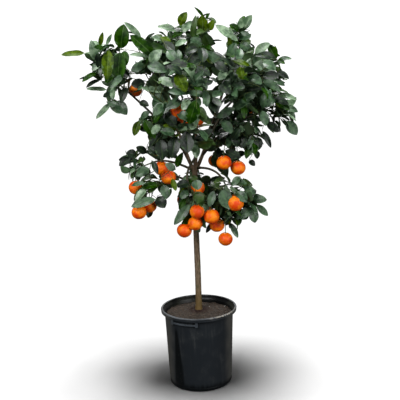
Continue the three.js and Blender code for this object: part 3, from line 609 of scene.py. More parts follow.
def on_screen(points):
    """X and Z of points that slide along their lines of sight to the windows' depth."""
    ratio = (WINDOW_DEPTH - VIEWPOINT[1]) / (points[:, 1] - VIEWPOINT[1])
    return VIEWPOINT[[0, 2]] + (points[:, [0, 2]] - VIEWPOINT[[0, 2]]) * ratio[:, None]


def covers_window(points):
    """Whether a point is in the way of a window of sky, seen from the camera."""
    offsets = (on_screen(points)[:, None] - WINDOWS[:, :2]) / WINDOWS[:, 2:]
    return bool(((offsets**2).sum(2) < 1).any())


print(len(WINDOWS), "windows, the widest", int(2 * WINDOWS[:, 2].max()), "mm")

# %% [markdown]
# ## Oranges
# The fruit ripens on the outer twigs and hangs by its own weight, alone or in clusters. Each
# middle is a point of the source's table. The stalk leaves the stem of the mass above it,
# arches over and drops into the fruit.

# %% Where the oranges hang
ORANGE_RADIUS = 30
HANGING_DROP = 60
STALK_LEVELS = (0.3, 0.5)
STALK_ENTRY = 0.8
STALK_ARCH = 0.8
STALK_RISE = 20
STALK_RADII = (1.9, 1.5)
STALK_STEPS = 12
ORANGES = [
    (-223, -110, 762), (-184, -66, 778), (-234, -76, 856), (-102, -92, 896), (-131, -38, 924),
    (7, -165, 768), (-2, -132, 714), (-46, -118, 684), (63, -152, 744), (85, -92, 696),
    (117, -108, 641), (158, -138, 792), (118, -122, 951), (174, -90, 924), (12, -86, 848),
    (-52, -158, 1158), (-28, -112, 1112), (20, -84, 1122), (-52, 204, 748), (-20, 226, 702),
    (52, 190, 726), (-170, 236, 968), (92, 276, 908), (168, 250, 926), (-244, 232, 1230),
    (256, 236, 1140),
]


def hang_oranges():
    for place in ORANGES:
        orange = point(place)
        mass = mass_round(orange + HANGING_DROP * UP)
        start, tip, _ = grow_stem(mass)
        root = mix(start, tip, STALK_LEVELS[int(orange[2] > start[2])])
        above = orange + STALK_ENTRY * ORANGE_RADIUS * UP
        control = above.copy()
        control[2] = max(above[2] + STALK_RISE, mix(above[2], root[2], STALK_ARCH))
        mass.stalks.append((root, control, above))
    return np.array(ORANGES, float)


def clear_of_oranges(points, margin):
    away = np.linalg.norm(points[:, None] - oranges, axis=2)
    return bool((away > ORANGE_RADIUS + margin).all())


oranges = hang_oranges()
print(len(oranges), "oranges hang from", sum(bool(mass.stalks) for mass in masses), "masses")

# %% [markdown]
# ## Shoots and twigs
# From here the lesson goes on where the solids stop. The stem and its shoots are the
# source's own. A twig leaves a shoot every 20 mm, turned by the golden angle so that no two
# lie over each other, as on a real citrus. A twig that would leave its mass's space, run
# into an orange or cross a window isn't grown.

# %% Shoots and twigs
SHOOT_REACH = 0.5
SHOOT_REACH_RANGE = (0.85, 1.1)
SHOOT_LEVELS = (0.14, 0.94)
SHOOT_LIFT = 0.16
SHORT_SHOOT = 110
SHOOT_BACK_LIMIT = -0.62
SOLID_LEAF, TIP_SHARE = 138, 0.75
STEM_RADII, SHOOT_RADII, TWIG_RADII = (3.4, 1.8), (2.3, 1.2), (1.5, 0.9)
TWIG_STEPS = 8
TWIG_SEED = 900
TWIG_SPACING = 20
TWIG_LENGTHS = (45, 95)
TWIG_OPEN = (0.55, 1.0)
TWIG_LIFT = 0.12
TWIG_PLACES = (0.2, 0.97)
TWIG_REACH = 0.85
TWIG_MARGIN, TWIG_OFF_FRUIT = 3, 4
SHOOT_MARGIN, SHOOT_OFF_FRUIT = 4, 3
FIRST_LEAF, FIRST_SHOOT_LEAF = 0.2, 0.35
TIP_LEAF = 80


def shoot_directions(along, count, draw):
    turn = draw() * FULL_TURN
    for k in range(count):
        rise = mix(1, SHOOT_BACK_LIMIT, (k + 0.5) / count)
        side = side_of(along, turn + k * GOLDEN_ANGLE)
        yield along * rise + side * math.sqrt(1 - rise * rise)


def grow_shoots(mass):
    """The stem and its shoots: each a root, a bend, an end and a leaf tip, as in the source."""
    draw = seeded_random(mass.seed)
    start, tip, along = grow_stem(mass)
    shoots = [(start, mix(start, tip, 0.5), tip, None)]
    ends = []
    for direction in shoot_directions(along, mass.count, draw):
        reach = SHOOT_REACH * mix(*SHOOT_REACH_RANGE, draw())
        ends.append((mass.centre + direction * mass.size * reach, None))
    for place in mass.tips:
        outward = place - mass.centre
        back = TIP_SHARE * min(SOLID_LEAF, np.linalg.norm(outward))
        ends.append((place - unit(outward) * back, place))
    ranked = sorted(range(len(ends)), key=lambda k: (ends[k][0] - start) @ along)
    for k, (end, place) in enumerate(ends):
        root = mix(start, tip, mix(*SHOOT_LEVELS, ranked.index(k) / (len(ends) - 1)))
        control = mix(root, end, 0.5)
        if np.linalg.norm(end - root) >= SHORT_SHOOT:
            control[2] += SHOOT_LIFT * np.linalg.norm(end - root)
        shoots.append((root, control, end, place))
    return shoots


class Twig:
    """A thin stem on a quadratic curve: a mass's stem, a shoot, a twig or a fruit stalk."""

    def __init__(self, points, radii, first=FIRST_LEAF, tip=None, bears=False):
        self.points = points
        self.radii = radii
        self.first = first
        self.tip = tip
        self.bears = bears
        self.path = np.array([self.at(k / TWIG_STEPS) for k in range(TWIG_STEPS + 1)])
        self.length = np.linalg.norm(np.diff(self.path, axis=0), axis=1).sum()

    def at(self, t):
        return quadratic(self.points, t)

    def along(self, t):
        a, b, c = self.points
        return unit((1 - t) * (b - a) + t * (c - b) + 1e-9)


def grow_side_twigs(mass, shoot, draw):
    count = int(shoot.length / TWIG_SPACING)
    turn = draw() * FULL_TURN
    lowest, highest = TWIG_PLACES
    for k in range(1, count + 1):
        place = min(highest, (k + 0.3 * draw()) / (count + 0.6))
        if place < lowest:
            continue
        root = shoot.at(place)
        spread = mix(*TWIG_OPEN, draw())
        direction = open_from(shoot.along(place), turn + k * GOLDEN_ANGLE, spread)
        length = mix(*TWIG_LENGTHS, draw())
        end = root + direction * length
        twig = Twig((root, mix(root, end, 0.5) + TWIG_LIFT * length * UP, end), TWIG_RADII)
        outer = twig.path[3:]
        fits = (room_in(mass, outer) > TWIG_MARGIN).all() and inside_reach(mass, end, TWIG_REACH)
        if fits and clear_of_oranges(twig.path, TWIG_OFF_FRUIT) and not covers_window(outer):
            yield twig


def grow_twigs(mass):
    """A mass's stem, shoots and twigs; one that still bears nothing is left out later."""
    draw = seeded_random(mass.seed + TWIG_SEED)
    twigs = []
    for k, (root, control, end, tip) in enumerate(grow_shoots(mass)):
        if tip is not None:
            end = mix(tip, end, TIP_LEAF / np.linalg.norm(tip - end))
        stem = k == 0
        radii = STEM_RADII if stem else SHOOT_RADII
        twig = Twig((root, control, end), radii, FIRST_SHOOT_LEAF, tip, stem)
        if tip is not None and covers_window(twig.path[5:]):
            cut = (root, mix(root, control, 0.5), twig.at(0.5))
            twig = Twig(cut, radii, FIRST_SHOOT_LEAF)
        free = (room_in(mass, twig.path[4:]) > SHOOT_MARGIN).all()
        free = free and clear_of_oranges(twig.path, SHOOT_OFF_FRUIT)
        if stem or free and (tip is not None or not covers_window(twig.path[5:])):
            twigs.append(twig)
    for shoot in list(twigs):
        grown = list(grow_side_twigs(mass, shoot, draw))
        shoot.bears = shoot.bears or bool(grown)
        twigs += grown
    return twigs


twigs_of = {mass.name: grow_twigs(mass) for mass in masses}
print(sum(len(twigs) for twigs in twigs_of.values()), "stems, shoots and twigs")

# %% [markdown]
# ## Leading leaves
# Most leaves can follow the rule, but the ones that stand out in the picture are its
# likeness: the long sprays at the left, the pointed tips along the top, the bright young
# leaves. Each row gives where its stalk and its tip show, how deep it lies, how wide it
# looks, its tone (d deep, m middle, f fresh, p painted sheen, o olive, y young) and how much
# it faces the front. A twig takes it to the nearest one of the mass whose space it is in. A
# leaf by the rule that would hide one of these, or a front orange, isn't grown.

# %% Leading leaves
LEADING_ROWS = [
    (86, 53, 61, 55, -30, 7, "y", 0.8), (100, 47, 103, 32, -60, 5, "y", 1),
    (106, 46, 112, 34, -10, 4, "p", 1), (121, 50, 124, 24, -70, 15, "o", 1),
    (142, 39, 124, 22, -20, 6, "p", 1), (97, 62, 91, 40, -40, 9, "p", 1),
    (104, 48, 94, 47, -80, 6, "o", 1), (109, 48, 107, 80, -130, 12, "y", 1),
    (120, 50, 117, 84, -105, 15, "o", 1), (124, 50, 126, 66, -85, 9, "o", 1),
    (98, 73, 82, 82, -60, 6, "o", 0.7), (101, 80, 86, 88, -45, 5, "d", 0.7),
    (108, 90, 86, 89, -20, 6, "p", 0.6), (112, 93, 103, 97, -60, 6, "d", 1),
    (112, 102, 96, 119, -40, 6, "p", 1), (116, 100, 127, 115, -50, 11, "m", 1),
    (127, 86, 121, 103, -75, 8, "d", 1), (99, 72, 89, 64, -20, 4, "o", 0.6),
    (124, 74, 110, 88, -120, 7, "m", 1), (101, 70, 97, 53, -75, 8, "d", 1),
    (146, 83, 131, 85, -60, 11, "d", 1), (147, 67, 131, 70, -70, 11, "m", 1),
    (150, 58, 129, 55, -70, 5, "p", 0.8), (139, 102, 149, 106, -50, 7, "d", 1),
    (140, 118, 150, 112, -60, 7, "m", 0.8), (152, 108, 163, 93, -110, 8, "m", 1),
    (139, 120, 134, 136, -60, 8, "y", 1), (144, 119, 155, 139, -90, 10, "o", 1),
    (149, 64, 162, 50, -110, 11, "p", 1), (146, 65, 167, 72, -130, 11, "m", 1),
    (157, 78, 177, 86, -170, 9, "p", 1), (176, 72, 186, 92, -270, 13, "y", 1),
    (166, 92, 141, 88, -130, 7, "p", 0.8), (189, 89, 204, 71, -250, 8, "m", 1),
    (206, 96, 187, 93, -240, 7, "m", 0.9), (190, 99, 182, 110, -235, 9, "p", 1),
    (144, 41, 155, 33, -40, 4, "d", 0.6), (155, 57, 130, 35, -70, 12, "o", 1),
    (146, 44, 166, 52, -70, 10, "o", 1), (178, 32, 157, 27, -30, 7, "p", 0.8),
    (179, 26, 187, 12, -40, 9, "y", 1), (163, 40, 150, 39, -80, 6, "p", 0.8),
    (160, 37, 171, 43, -90, 7, "y", 0.8), (195, 21, 181, 32, -40, 8, "p", 1),
    (203, 33, 202, 15, -60, 11, "y", 1), (204, 18, 194, 7, -40, 3, "o", 1),
    (206, 19, 210, 13, -40, 3, "o", 1), (209, 31, 214, 20, -70, 7, "y", 1),
    (214, 24, 238, 41, -60, 9, "p", 0.9), (240, 30, 229, 25, -60, 7, "o", 0.9),
    (241, 31, 252, 15, -30, 9, "p", 1), (237, 36, 251, 37, -50, 10, "m", 1),
    (239, 44, 252, 51, -60, 9, "m", 1), (229, 57, 236, 43, -90, 10, "m", 1),
    (203, 44, 190, 39, -90, 9, "m", 0.9), (254, 54, 270, 43, -60, 9, "p", 1),
    (277, 60, 268, 44, -50, 9, "o", 1), (276, 58, 255, 56, -75, 8, "d", 0.8),
    (277, 60, 292, 59, -30, 5, "m", 0.8), (277, 60, 285, 64, -50, 5, "o", 0.9),
    (251, 67, 274, 62, -95, 9, "p", 0.9), (276, 71, 289, 79, -40, 7, "d", 0.9),
    (262, 76, 280, 76, -85, 10, "d", 0.9), (268, 79, 285, 86, -75, 7, "m", 0.8),
    (262, 80, 280, 91, -100, 8, "m", 0.9), (276, 95, 297, 100, -60, 6, "p", 0.8),
    (231, 60, 250, 66, -190, 8, "y", 0.4), (240, 66, 243, 80, -200, 11, "y", 1),
    (205, 50, 225, 68, -140, 9, "m", 0.9), (228, 71, 218, 80, -190, 9, "p", 1),
    (284, 107, 298, 112, -50, 7, "m", 0.9), (288, 111, 295, 120, -60, 6, "m", 0.9),
    (286, 120, 297, 135, -60, 11, "m", 1), (266, 122, 279, 132, -80, 9, "d", 1),
    (276, 101, 290, 110, -90, 7, "o", 0.9), (270, 98, 289, 105, -110, 8, "d", 0.8),
    (262, 130, 271, 148, -60, 6, "d", 1), (257, 136, 259, 150, -75, 9, "d", 1),
    (253, 134, 248, 150, -110, 6, "m", 1), (250, 143, 246, 159, -105, 7, "o", 1),
    (257, 150, 257, 159, -60, 6, "d", 1), (249, 160, 255, 166, -60, 6, "d", 1),
    (246, 152, 233, 158, -80, 7, "d", 0.8), (230, 183, 247, 184, -120, 9, "m", 0.6),
    (243, 186, 255, 194, -110, 8, "m", 0.8), (251, 199, 267, 200, -100, 9, "m", 0.9),
    (256, 204, 268, 216, -100, 7, "m", 1), (252, 208, 255, 223, -100, 10, "m", 1),
    (251, 206, 240, 219, -120, 9, "m", 1), (236, 191, 247, 202, -150, 10, "m", 1),
    (221, 189, 230, 209, -150, 14, "m", 1), (214, 190, 209, 207, -165, 8, "m", 1),
    (196, 179, 198, 190, -170, 11, "m", 1), (190, 183, 176, 186, -120, 9, "d", 0.9),
    (188, 189, 181, 199, -120, 8, "m", 1), (186, 198, 179, 210, -110, 6, "o", 1),
    (191, 203, 174, 225, -125, 9, "m", 1), (230, 222, 238, 238, -90, 6, "m", 1),
    (131, 157, 119, 166, -50, 8, "d", 1), (137, 155, 126, 153, -60, 9, "d", 1),
    (147, 153, 136, 147, -40, 8, "d", 1), (157, 196, 165, 208, -100, 12, "d", 1),
    (163, 184, 167, 198, -115, 10, "m", 1), (157, 199, 131, 207, -150, 10, "m", 0.7),
    (151, 208, 148, 218, -80, 7, "d", 1), (150, 168, 136, 176, -100, 10, "m", 1),
    (160, 185, 141, 188, -125, 8, "o", 0.7), (176, 168, 183, 152, -120, 7, "o", 1),
    (172, 178, 176, 191, -140, 6, "y", 1), (176, 170, 165, 164, -140, 8, "m", 0.9),
    (186, 130, 188, 153, -190, 14, "d", 1), (176, 135, 172, 158, -150, 13, "d", 1),
    (160, 138, 163, 160, -130, 13, "d", 1), (231, 110, 250, 100, -180, 9, "m", 1),
    (216, 118, 235, 108, -190, 9, "m", 0.9), (222, 120, 232, 133, -180, 10, "m", 1),
    (244, 92, 262, 88, -170, 9, "d", 0.9), (243, 103, 256, 92, -170, 9, "m", 1),
    (262, 110, 266, 126, -150, 9, "m", 1), (167, 50, 176, 62, -160, 10, "m", 1),
    (170, 62, 188, 66, -190, 10, "d", 0.9), (187, 62, 200, 54, -160, 10, "d", 1),
    (182, 100, 166, 108, -200, 10, "m", 1), (164, 112, 176, 126, -170, 12, "d", 1),
    (176, 112, 190, 120, -190, 9, "m", 0.9), (150, 92, 165, 103, -120, 9, "m", 1),
    (196, 66, 210, 76, -230, 10, "d", 1), (214, 62, 228, 72, -190, 9, "d", 1),
    (230, 82, 245, 88, -200, 9, "m", 0.8), (248, 76, 262, 84, -150, 10, "m", 0.9),
    (262, 62, 276, 70, -110, 9, "m", 0.8), (147, 146, 158, 155, -110, 7, "d", 1),
    (224, 150, 241, 158, -100, 9, "d", 0.9), (183, 195, 179, 207, -60, 5, "d", 1),
    (120, 69, 130, 77, -60, 6, "d", 1), (171, 38, 184, 33, -60, 5, "o", 0.9),
    (131, 186, 146, 183, -140, 5, "m", 0.8), (152, 160, 158, 174, -150, 6, "d", 1),
    (178, 50, 172, 44, -90, 6, "f", 1), (232, 205, 241, 216, -150, 4, "o", 1),
    (146, 151, 157, 150, -112, 4, "d", 1), (238, 157, 229, 161, -100, 5, "d", 0.9),
    (103, 60, 92, 71, -60, 7, "p", 1), (126, 60, 119, 69, -70, 7, "p", 1),
    (200, 142, 186, 148, -170, 8, "p", 0.9), (232, 140, 240, 128, -160, 8, "d", 1),
    (176, 133, 160, 131, -180, 9, "m", 0.9), (240, 176, 232, 186, -130, 7, "m", 0.9),
    (192, 39, 196, 15, -70, 6, "f", 1), (193, 92, 168, 92, -235, 11, "m", 0.9),
    (106, 102, 120, 106, -50, 6, "m", 0.9), (172, 188, 164, 200, -100, 6, "m", 1),
    (239, 32, 241, 18, -50, 6, "p", 1), (213, 222, 206, 233, -80, 5, "d", 1),
    (187, 40, 175, 46, -110, 6, "p", 1), (198, 48, 186, 53, -180, 8, "d", 0.9),
    (160, 124, 152, 134, -150, 8, "p", 1), (203, 60, 193, 66, -200, 8, "d", 1),
]


ROOT_BEHIND, TIP_BEFORE = 12, 8
SHOWN_LENGTH, SHOWN_WIDTH = 0.42, 0.36
SHOWN_ORANGE = 0.75
SHOWN_BELOW = 1000


def leading_leaf(row):
    """Root, tip and true width of a leaf in the table, with its tone and how it faces."""
    u0, v0, u1, v1, depth, width, tone, face = row
    root = seen_at(u0, v0, depth + ROOT_BEHIND)
    tip = seen_at(u1, v1, depth - TIP_BEFORE)
    away = np.linalg.norm(mix(root, tip, 0.5) - VIEWPOINT)
    return root, tip, width * away / FOCAL, tone, face


def shown_row(root, tip, width):
    """The patch of the picture that a leading leaf needs, and how deep it lies."""
    start, end = on_screen(point([root, tip]))
    length = np.linalg.norm(end - start)
    along = (end - start) / length
    middle = mix(start, end, 0.5)
    return [*middle, *along, SHOWN_LENGTH * length, SHOWN_WIDTH * width, mix(root, tip, 0.5)[1]]


def hides_leading(points):
    """Whether a point is in front of a leading leaf or a leading orange."""
    offsets = on_screen(points)[:, None] - SHOWN[:, :2]
    along = (offsets * SHOWN[:, 2:4]).sum(2) / SHOWN[:, 4]
    across = (offsets * SHOWN[:, [3, 2]] * (1, -1)).sum(2) / SHOWN[:, 5]
    in_front = points[:, None, 1] < SHOWN[:, 6]
    return bool((in_front & (along**2 + across**2 < 1)).any())


LEADING = [leading_leaf(row) for row in LEADING_ROWS]
SHOWN = [shown_row(root, tip, width) for root, tip, width, *_ in LEADING]
for place in oranges[(oranges[:, 1] < 0) & (oranges[:, 2] < SHOWN_BELOW)]:
    across = SHOWN_ORANGE * ORANGE_RADIUS
    SHOWN.append([*on_screen(place[None])[0], 1, 0, across, across, place[1]])
SHOWN = np.array(SHOWN)
lengths = [np.linalg.norm(tip - root) for root, tip, *_ in LEADING]
print(len(LEADING), "leading leaves,", int(min(lengths)), "to", int(max(lengths)), "mm long")

# %% [markdown]
# ## Leaves by the rule
# A citrus leaf stands off its twig by its stalk, turns its upper side to the light and
# droops a little. A leaf is tried at each place in up to four turns, and is kept when it
# stays in its mass's space, off the limbs, the fruit and the windows, and doesn't share its
# place with a leaf that is already there. The points of all leaves are kept in a coarse grid,
# so looking for neighbours stays quick.

# %% Leaves
LEAF_LENGTHS = (66, 98)
LEAF_SLENDER = 0.49
LEAF_WIDTHS = (0.85, 1.15)
LEAF_SPACING = 12
LEAF_APART = 9
LEAF_REACH = 1.12
ATTEMPTS, ATTEMPT_TURN, ATTEMPT_SHRINK = 4, 0.7, 0.07
END_SPREAD, SIDE_SPREAD = (0.1, 0.45), (0.65, 1.25)
DROOP, SWAY = (0.1, 0.65), (-0.55, 0.55)
OUTER_PULL, FACE_OUT, FACE_UP = 0.6, 0.8, 0.75
OFF_WALL, OFF_FRUIT, OFF_LIMB = -3, 2, 3
LAST_SIDE_LEAF = 0.96
FACES_UP, FACES_FRONT = point((0.1, -0.3, 1)), point((0, -1, 0.35))
LEAF_SEED = 1700
CELL = 20
SHAPES = 6
TONE_SHARES = {"d": 0.28, "m": 0.6, "f": 0.66, "p": 0.84, "o": 0.96, "y": 1.0}
FRESH_SHARES = {"d": 0.18, "m": 0.36, "f": 0.56, "p": 0.69, "o": 0.91, "y": 1.0}
FRESH_ABOVE, FRESH_BELOW, FRESH_LEFT = 1340, 950, -300
SAMPLES = [(0.16, 0), (0.34, 0), (0.55, 0), (0.78, 0), (1, 0),
           (0.38, 0.32), (0.38, -0.32), (0.62, 0.28), (0.62, -0.28)]
NEIGHBOURS = [(x, y, z) for x in (-1, 0, 1) for y in (-1, 0, 1) for z in (-1, 0, 1)]


class Leaves:
    """All the leaves that have been placed, and the room between them."""

    def __init__(self):
        self.rows = []
        self.cells = {}

    def near(self, points):
        for p in points:
            x, y, z = (int(v // CELL) for v in p)
            for i, j, k in NEIGHBOURS:
                for q in self.cells.get((x + i, y + j, z + k), ()):
                    if sum((a - b) ** 2 for a, b in zip(p, q)) < LEAF_APART**2:
                        return True
        return False

    def add(self, leaf, points):
        self.rows.append(leaf)
        for p in points:
            self.cells.setdefault(tuple(int(v // CELL) for v in p), []).append(tuple(p))


def leaf_points(root, direction, up, length, width):
    side = np.cross(up, direction)
    return np.array([root + direction * length * a + side * width * b for a, b in SAMPLES])


def turn_face(direction, wish):
    return unit(wish - direction * (wish @ direction))


def clear_of_limbs(points):
    for limb in limbs.values():
        away = np.linalg.norm(points[:, None] - limb.path, axis=2) - limb.radii
        if (away < OFF_LIMB).any():
            return False
    return True


def leaf_fits(mass, points, leaves):
    return (
        inside_reach(mass, points, LEAF_REACH)
        and (room_in(mass, points) > OFF_WALL).all()
        and clear_of_oranges(points, OFF_FRUIT)
        and not covers_window(points)
        and not hides_leading(points)
        and clear_of_limbs(points)
        and not leaves.near(points[1:])
    )


def try_leaf(mass, twig, place, turn, tone, leaves, draw):
    root = twig.at(place)
    size = mix(*LEAF_LENGTHS, draw())
    outer = unit((mass.centre - CROWN_MIDDLE) * (1, 1, 0.7))
    outward = (root - mass.centre) / max(np.linalg.norm(root - mass.centre), 1)
    outward += outer * OUTER_PULL
    for attempt in range(ATTEMPTS):
        spread = mix(*(END_SPREAD if place == 1 else SIDE_SPREAD), draw())
        turned = turn + ATTEMPT_TURN * attempt * GOLDEN_ANGLE
        direction = open_from(twig.along(place), turned, spread)
        direction = unit(direction - mix(*DROOP, draw()) * UP)
        sway = point([mix(*SWAY, draw()) for _ in range(3)])
        up = turn_face(direction, outward * FACE_OUT + FACE_UP * UP + sway)
        length = size * (1 - ATTEMPT_SHRINK * attempt)
        width = length * LEAF_SLENDER * mix(*LEAF_WIDTHS, draw())
        points = leaf_points(root, direction, up, length, width)
        if leaf_fits(mass, points, leaves):
            leaves.add((root, direction, up, length, width, int(draw() * SHAPES), tone), points)
            twig.bears = True
            return


def grow_leaves(mass, twigs, leaves):
    """Leaves on every twig of a mass; a twig that bears nothing is then left out."""
    draw = seeded_random(mass.seed + LEAF_SEED)
    x, _, z = mass.centre
    fresh = z > FRESH_ABOVE or z < FRESH_BELOW or x < FRESH_LEFT
    shares = FRESH_SHARES if fresh else TONE_SHARES
    for twig in twigs:
        count = max(2, int(twig.length / LEAF_SPACING))
        turn = draw() * FULL_TURN
        share = draw()
        tone = next(tone for tone, limit in shares.items() if share <= limit)
        for k in range(count + 1):
            last = k == count
            place = 1 if last else mix(twig.first, LAST_SIDE_LEAF, (k + 0.5 * draw()) / count)
            if place < 1 or twig.tip is None:
                try_leaf(mass, twig, place, turn + k * GOLDEN_ANGLE, tone, leaves, draw)
    twigs[:] = [twig for twig in twigs if twig.bears]


def lead_leaves(leaves):
    """The leaves of the table, each on a twig of its own from the nearest twig."""
    for number, (root, tip, width, tone, face) in enumerate(LEADING):
        mass = mass_round(root)
        twigs = twigs_of[mass.name]
        away, k, step = min((np.linalg.norm(spot - root), k, step) for k, twig in enumerate(twigs)
                            for step, spot in enumerate(twig.path[:-1]))
        start = twigs[k].path[step]
        middle = mix(start, root, 0.5) + TWIG_LIFT * away * UP
        twigs[k].bears = True
        twigs.append(Twig((start, middle, root), TWIG_RADII, bears=True))
        direction = unit(tip - root)
        up = turn_face(direction, mix(FACES_UP, FACES_FRONT, face))
        length = np.linalg.norm(tip - root)
        leaf = (root, direction, up, length, width, number % SHAPES, tone)
        leaves.add(leaf, leaf_points(root, direction, up, length, width))


leaves = Leaves()
lead_leaves(leaves)
for mass in masses:
    grow_leaves(mass, twigs_of[mass.name], leaves)
print(len(leaves.rows), "leaves on", sum(len(twigs) for twigs in twigs_of.values()), "twigs")

# %% [markdown]
# ## Meshes that follow a path
# Trunk, limbs and twigs are all the same thing: a round section that runs along a path and
# gets thinner. Skinning each by hand would be slow, and a bevelled curve has one thickness.
# A Geometry Nodes tree sweeps a circle along every path at once, scales it by the thickness
# stored on each point, pushes the surface in and out with noise for relief, and sets the
# finish. `nodes_in` makes a node with its settings and sockets in one line.

# %% Tools for node trees
def nodes_in(tree, kind, settings=None, inputs=None):
    node = tree.nodes.new(kind)
    for name, value in (settings or {}).items():
        setattr(node, name, value)
    for name, value in (inputs or {}).items():
        if isinstance(value, bpy.types.NodeSocket):
            tree.links.new(value, node.inputs[name])
        else:
            node.inputs[name].default_value = value
    return node.outputs[0]


def new_tree(name, inputs):
    """An empty tree with these named inputs; gives the tree and its input sockets."""
    tree = bpy.data.node_groups.new(name, "GeometryNodeTree")
    tree.interface.new_socket("Geometry", in_out="INPUT", socket_type="NodeSocketGeometry")
    for label, kind in inputs.items():
        tree.interface.new_socket(label, in_out="INPUT", socket_type=f"NodeSocket{kind}")
    tree.interface.new_socket("Geometry", in_out="OUTPUT", socket_type="NodeSocketGeometry")
    group_input = tree.nodes.new("NodeGroupInput")
    return tree, {socket.name: socket for socket in group_input.outputs if socket.name}


def end_tree(tree, geometry):
    output = tree.nodes.new("NodeGroupOutput")
    tree.links.new(geometry, output.inputs[0])


def made_by(name, source, tree, values):
    """The plain mesh that a tree makes of a source mesh, as an object of its own."""
    helper = in_scene(name + "_source", source)
    modifier = helper.modifiers.new("grow", "NODES")
    modifier.node_group = tree
    for item in tree.interface.items_tree:
        if item.in_out == "INPUT" and item.name in values:
            modifier[item.identifier] = values[item.name]
    helper.update_tag()
    evaluated = helper.evaluated_get(bpy.context.evaluated_depsgraph_get())
    mesh = bpy.data.meshes.new_from_object(evaluated)
    bpy.data.objects.remove(helper)
    mesh.name = name
    print(name, len(mesh.polygons), "faces")
    return in_scene(name, mesh)


def attribute_of(tree, name, kind):
    return nodes_in(tree, "GeometryNodeInputNamedAttribute", {"data_type": kind}, {"Name": name})


def sum_in(tree, operation, first, second, kind="ShaderNodeMath"):
    return nodes_in(tree, kind, {"operation": operation}, {0: first, 1: second})


def store(mesh, name, kind, values, domain="POINT"):
    """Writes a named attribute: one number or one vector for each point or face."""
    attribute = mesh.attributes.new(name, kind, domain)
    key = "vector" if kind == "FLOAT_VECTOR" else "value"
    number = np.int32 if kind == "INT" else np.float32
    attribute.data.foreach_set(key, np.ravel(values).astype(number))


# %% The sweeping tree
def sweep_tree():
    inputs = {"Sides": "Int", "Relief": "Float", "Grain": "Vector", "Finish": "Material"}
    tree, given = new_tree("sweep", inputs)
    curve = nodes_in(tree, "GeometryNodeMeshToCurve", None, {"Mesh": given["Geometry"]})
    section = {"Resolution": given["Sides"], "Radius": 1.0}
    circle = nodes_in(tree, "GeometryNodeCurvePrimitiveCircle", None, section)
    thickness = attribute_of(tree, "thickness", "FLOAT")
    sweep = {"Curve": curve, "Profile Curve": circle, "Scale": thickness, "Fill Caps": True}
    skin = nodes_in(tree, "GeometryNodeCurveToMesh", None, sweep)
    where = nodes_in(tree, "GeometryNodeInputPosition")
    where = sum_in(tree, "MULTIPLY", where, given["Grain"], "ShaderNodeVectorMath")
    grain = {"Vector": where, "Scale": 1.0, "Detail": 3.0}
    rough = nodes_in(tree, "ShaderNodeTexNoise", None, grain)
    rough = sum_in(tree, "SUBTRACT", rough, 0.5)
    depth = sum_in(tree, "MULTIPLY", given["Relief"], thickness)
    rough = sum_in(tree, "MULTIPLY", rough, depth)
    outward = nodes_in(tree, "GeometryNodeInputNormal")
    push = {0: outward, "Scale": rough}
    push = nodes_in(tree, "ShaderNodeVectorMath", {"operation": "SCALE"}, push)
    skin = nodes_in(tree, "GeometryNodeSetPosition", None, {"Geometry": skin, "Offset": push})
    skin = nodes_in(tree, "GeometryNodeSetShadeSmooth", None, {0: skin})
    skin = nodes_in(tree, "GeometryNodeRealizeInstances", None, {0: skin})
    finish = {"Geometry": skin, "Material": given["Finish"]}
    end_tree(tree, nodes_in(tree, "GeometryNodeSetMaterial", None, finish))
    return tree


SWEEP = sweep_tree()


def path_mesh(name, paths):
    """One mesh of loose paths, each with its points and its thickness, in metres."""
    points = np.concatenate([path for path, radii in paths]) / 1000
    radii = np.concatenate([radii for path, radii in paths]) / 1000
    starts = set(np.cumsum([len(path) for path, _ in paths]).tolist())
    edges = [(k, k + 1) for k in range(len(points) - 1) if k + 1 not in starts]
    mesh = bpy.data.meshes.new(name)
    mesh.from_pydata(points.tolist(), edges, [])
    store(mesh, "thickness", "FLOAT", radii)
    return mesh


print("sweeping tree:", len(SWEEP.nodes), "nodes")

# %% [markdown]
# ## Bark
# The trunk of a young citrus has thin grey-brown bark with fine cracks along it, a greenish
# cast higher up and an ochre stain near the wet soil. The boughs are younger and greener,
# and the twigs that carry leaves are green. Height makes the ochre stain near the soil,
# noise drawn out along the stem makes the cracks, and a coarser noise the green lichen.

# %% Bark finishes
def bark_finish(name, plain, light, green, crack_size):
    shader = Shader(name)
    height = shader.axis("Z")
    streaks = shader.noise(crack_size, 4, (1, 1, 5))
    blotches = shader.noise(crack_size * 6, 2)
    tint = shader.mix(streaks.rise(0.35, 0.7), plain, light)
    tint = shader.mix(blotches.rise(0.52, 0.72) * 0.7, tint, green)
    stain = (1 - height.rise(0.3, 0.46)) * 0.8
    tint = shader.mix(stain, tint, colour(88, 68, 24))
    cracks = 1 - streaks.rise(0.30, 0.44)
    tint = shader.mix(cracks * 0.6, tint, colour(44, 38, 32))
    relief = shader.bump(streaks + shader.noise(crack_size / 3, 2) * 0.4, 0.0012)
    return shader.finish(tint, 0.72 + streaks * 0.2, relief, 0.3)


TRUNK_BARK = bark_finish("trunk_bark", colour(88, 73, 56), colour(120, 103, 82),
                         colour(84, 86, 60), 0.004)
YOUNG_BARK = bark_finish("young_bark", colour(50, 46, 34), colour(74, 68, 50),
                         colour(50, 62, 34), 0.003)
TWIG_BARK = bark_finish("twig_bark", colour(62, 74, 40), colour(92, 104, 58),
                        colour(52, 76, 34), 0.002)
print("bark finishes:", [bark.name for bark in (TRUNK_BARK, YOUNG_BARK, TWIG_BARK)])

# %% [markdown]
# ## Trunk, limbs and boughs with relief
# The paths are the curves of the growth rule. A short path gets few points and a small
# section few sides, so detail goes where it shows: 32 sides on the trunk, 12 on a bough.
# A limb or bough starts with a small collar where it leaves the wood that carries it.

# %% Limbs as meshes
COLLAR, COLLAR_END = 0.16, 0.12


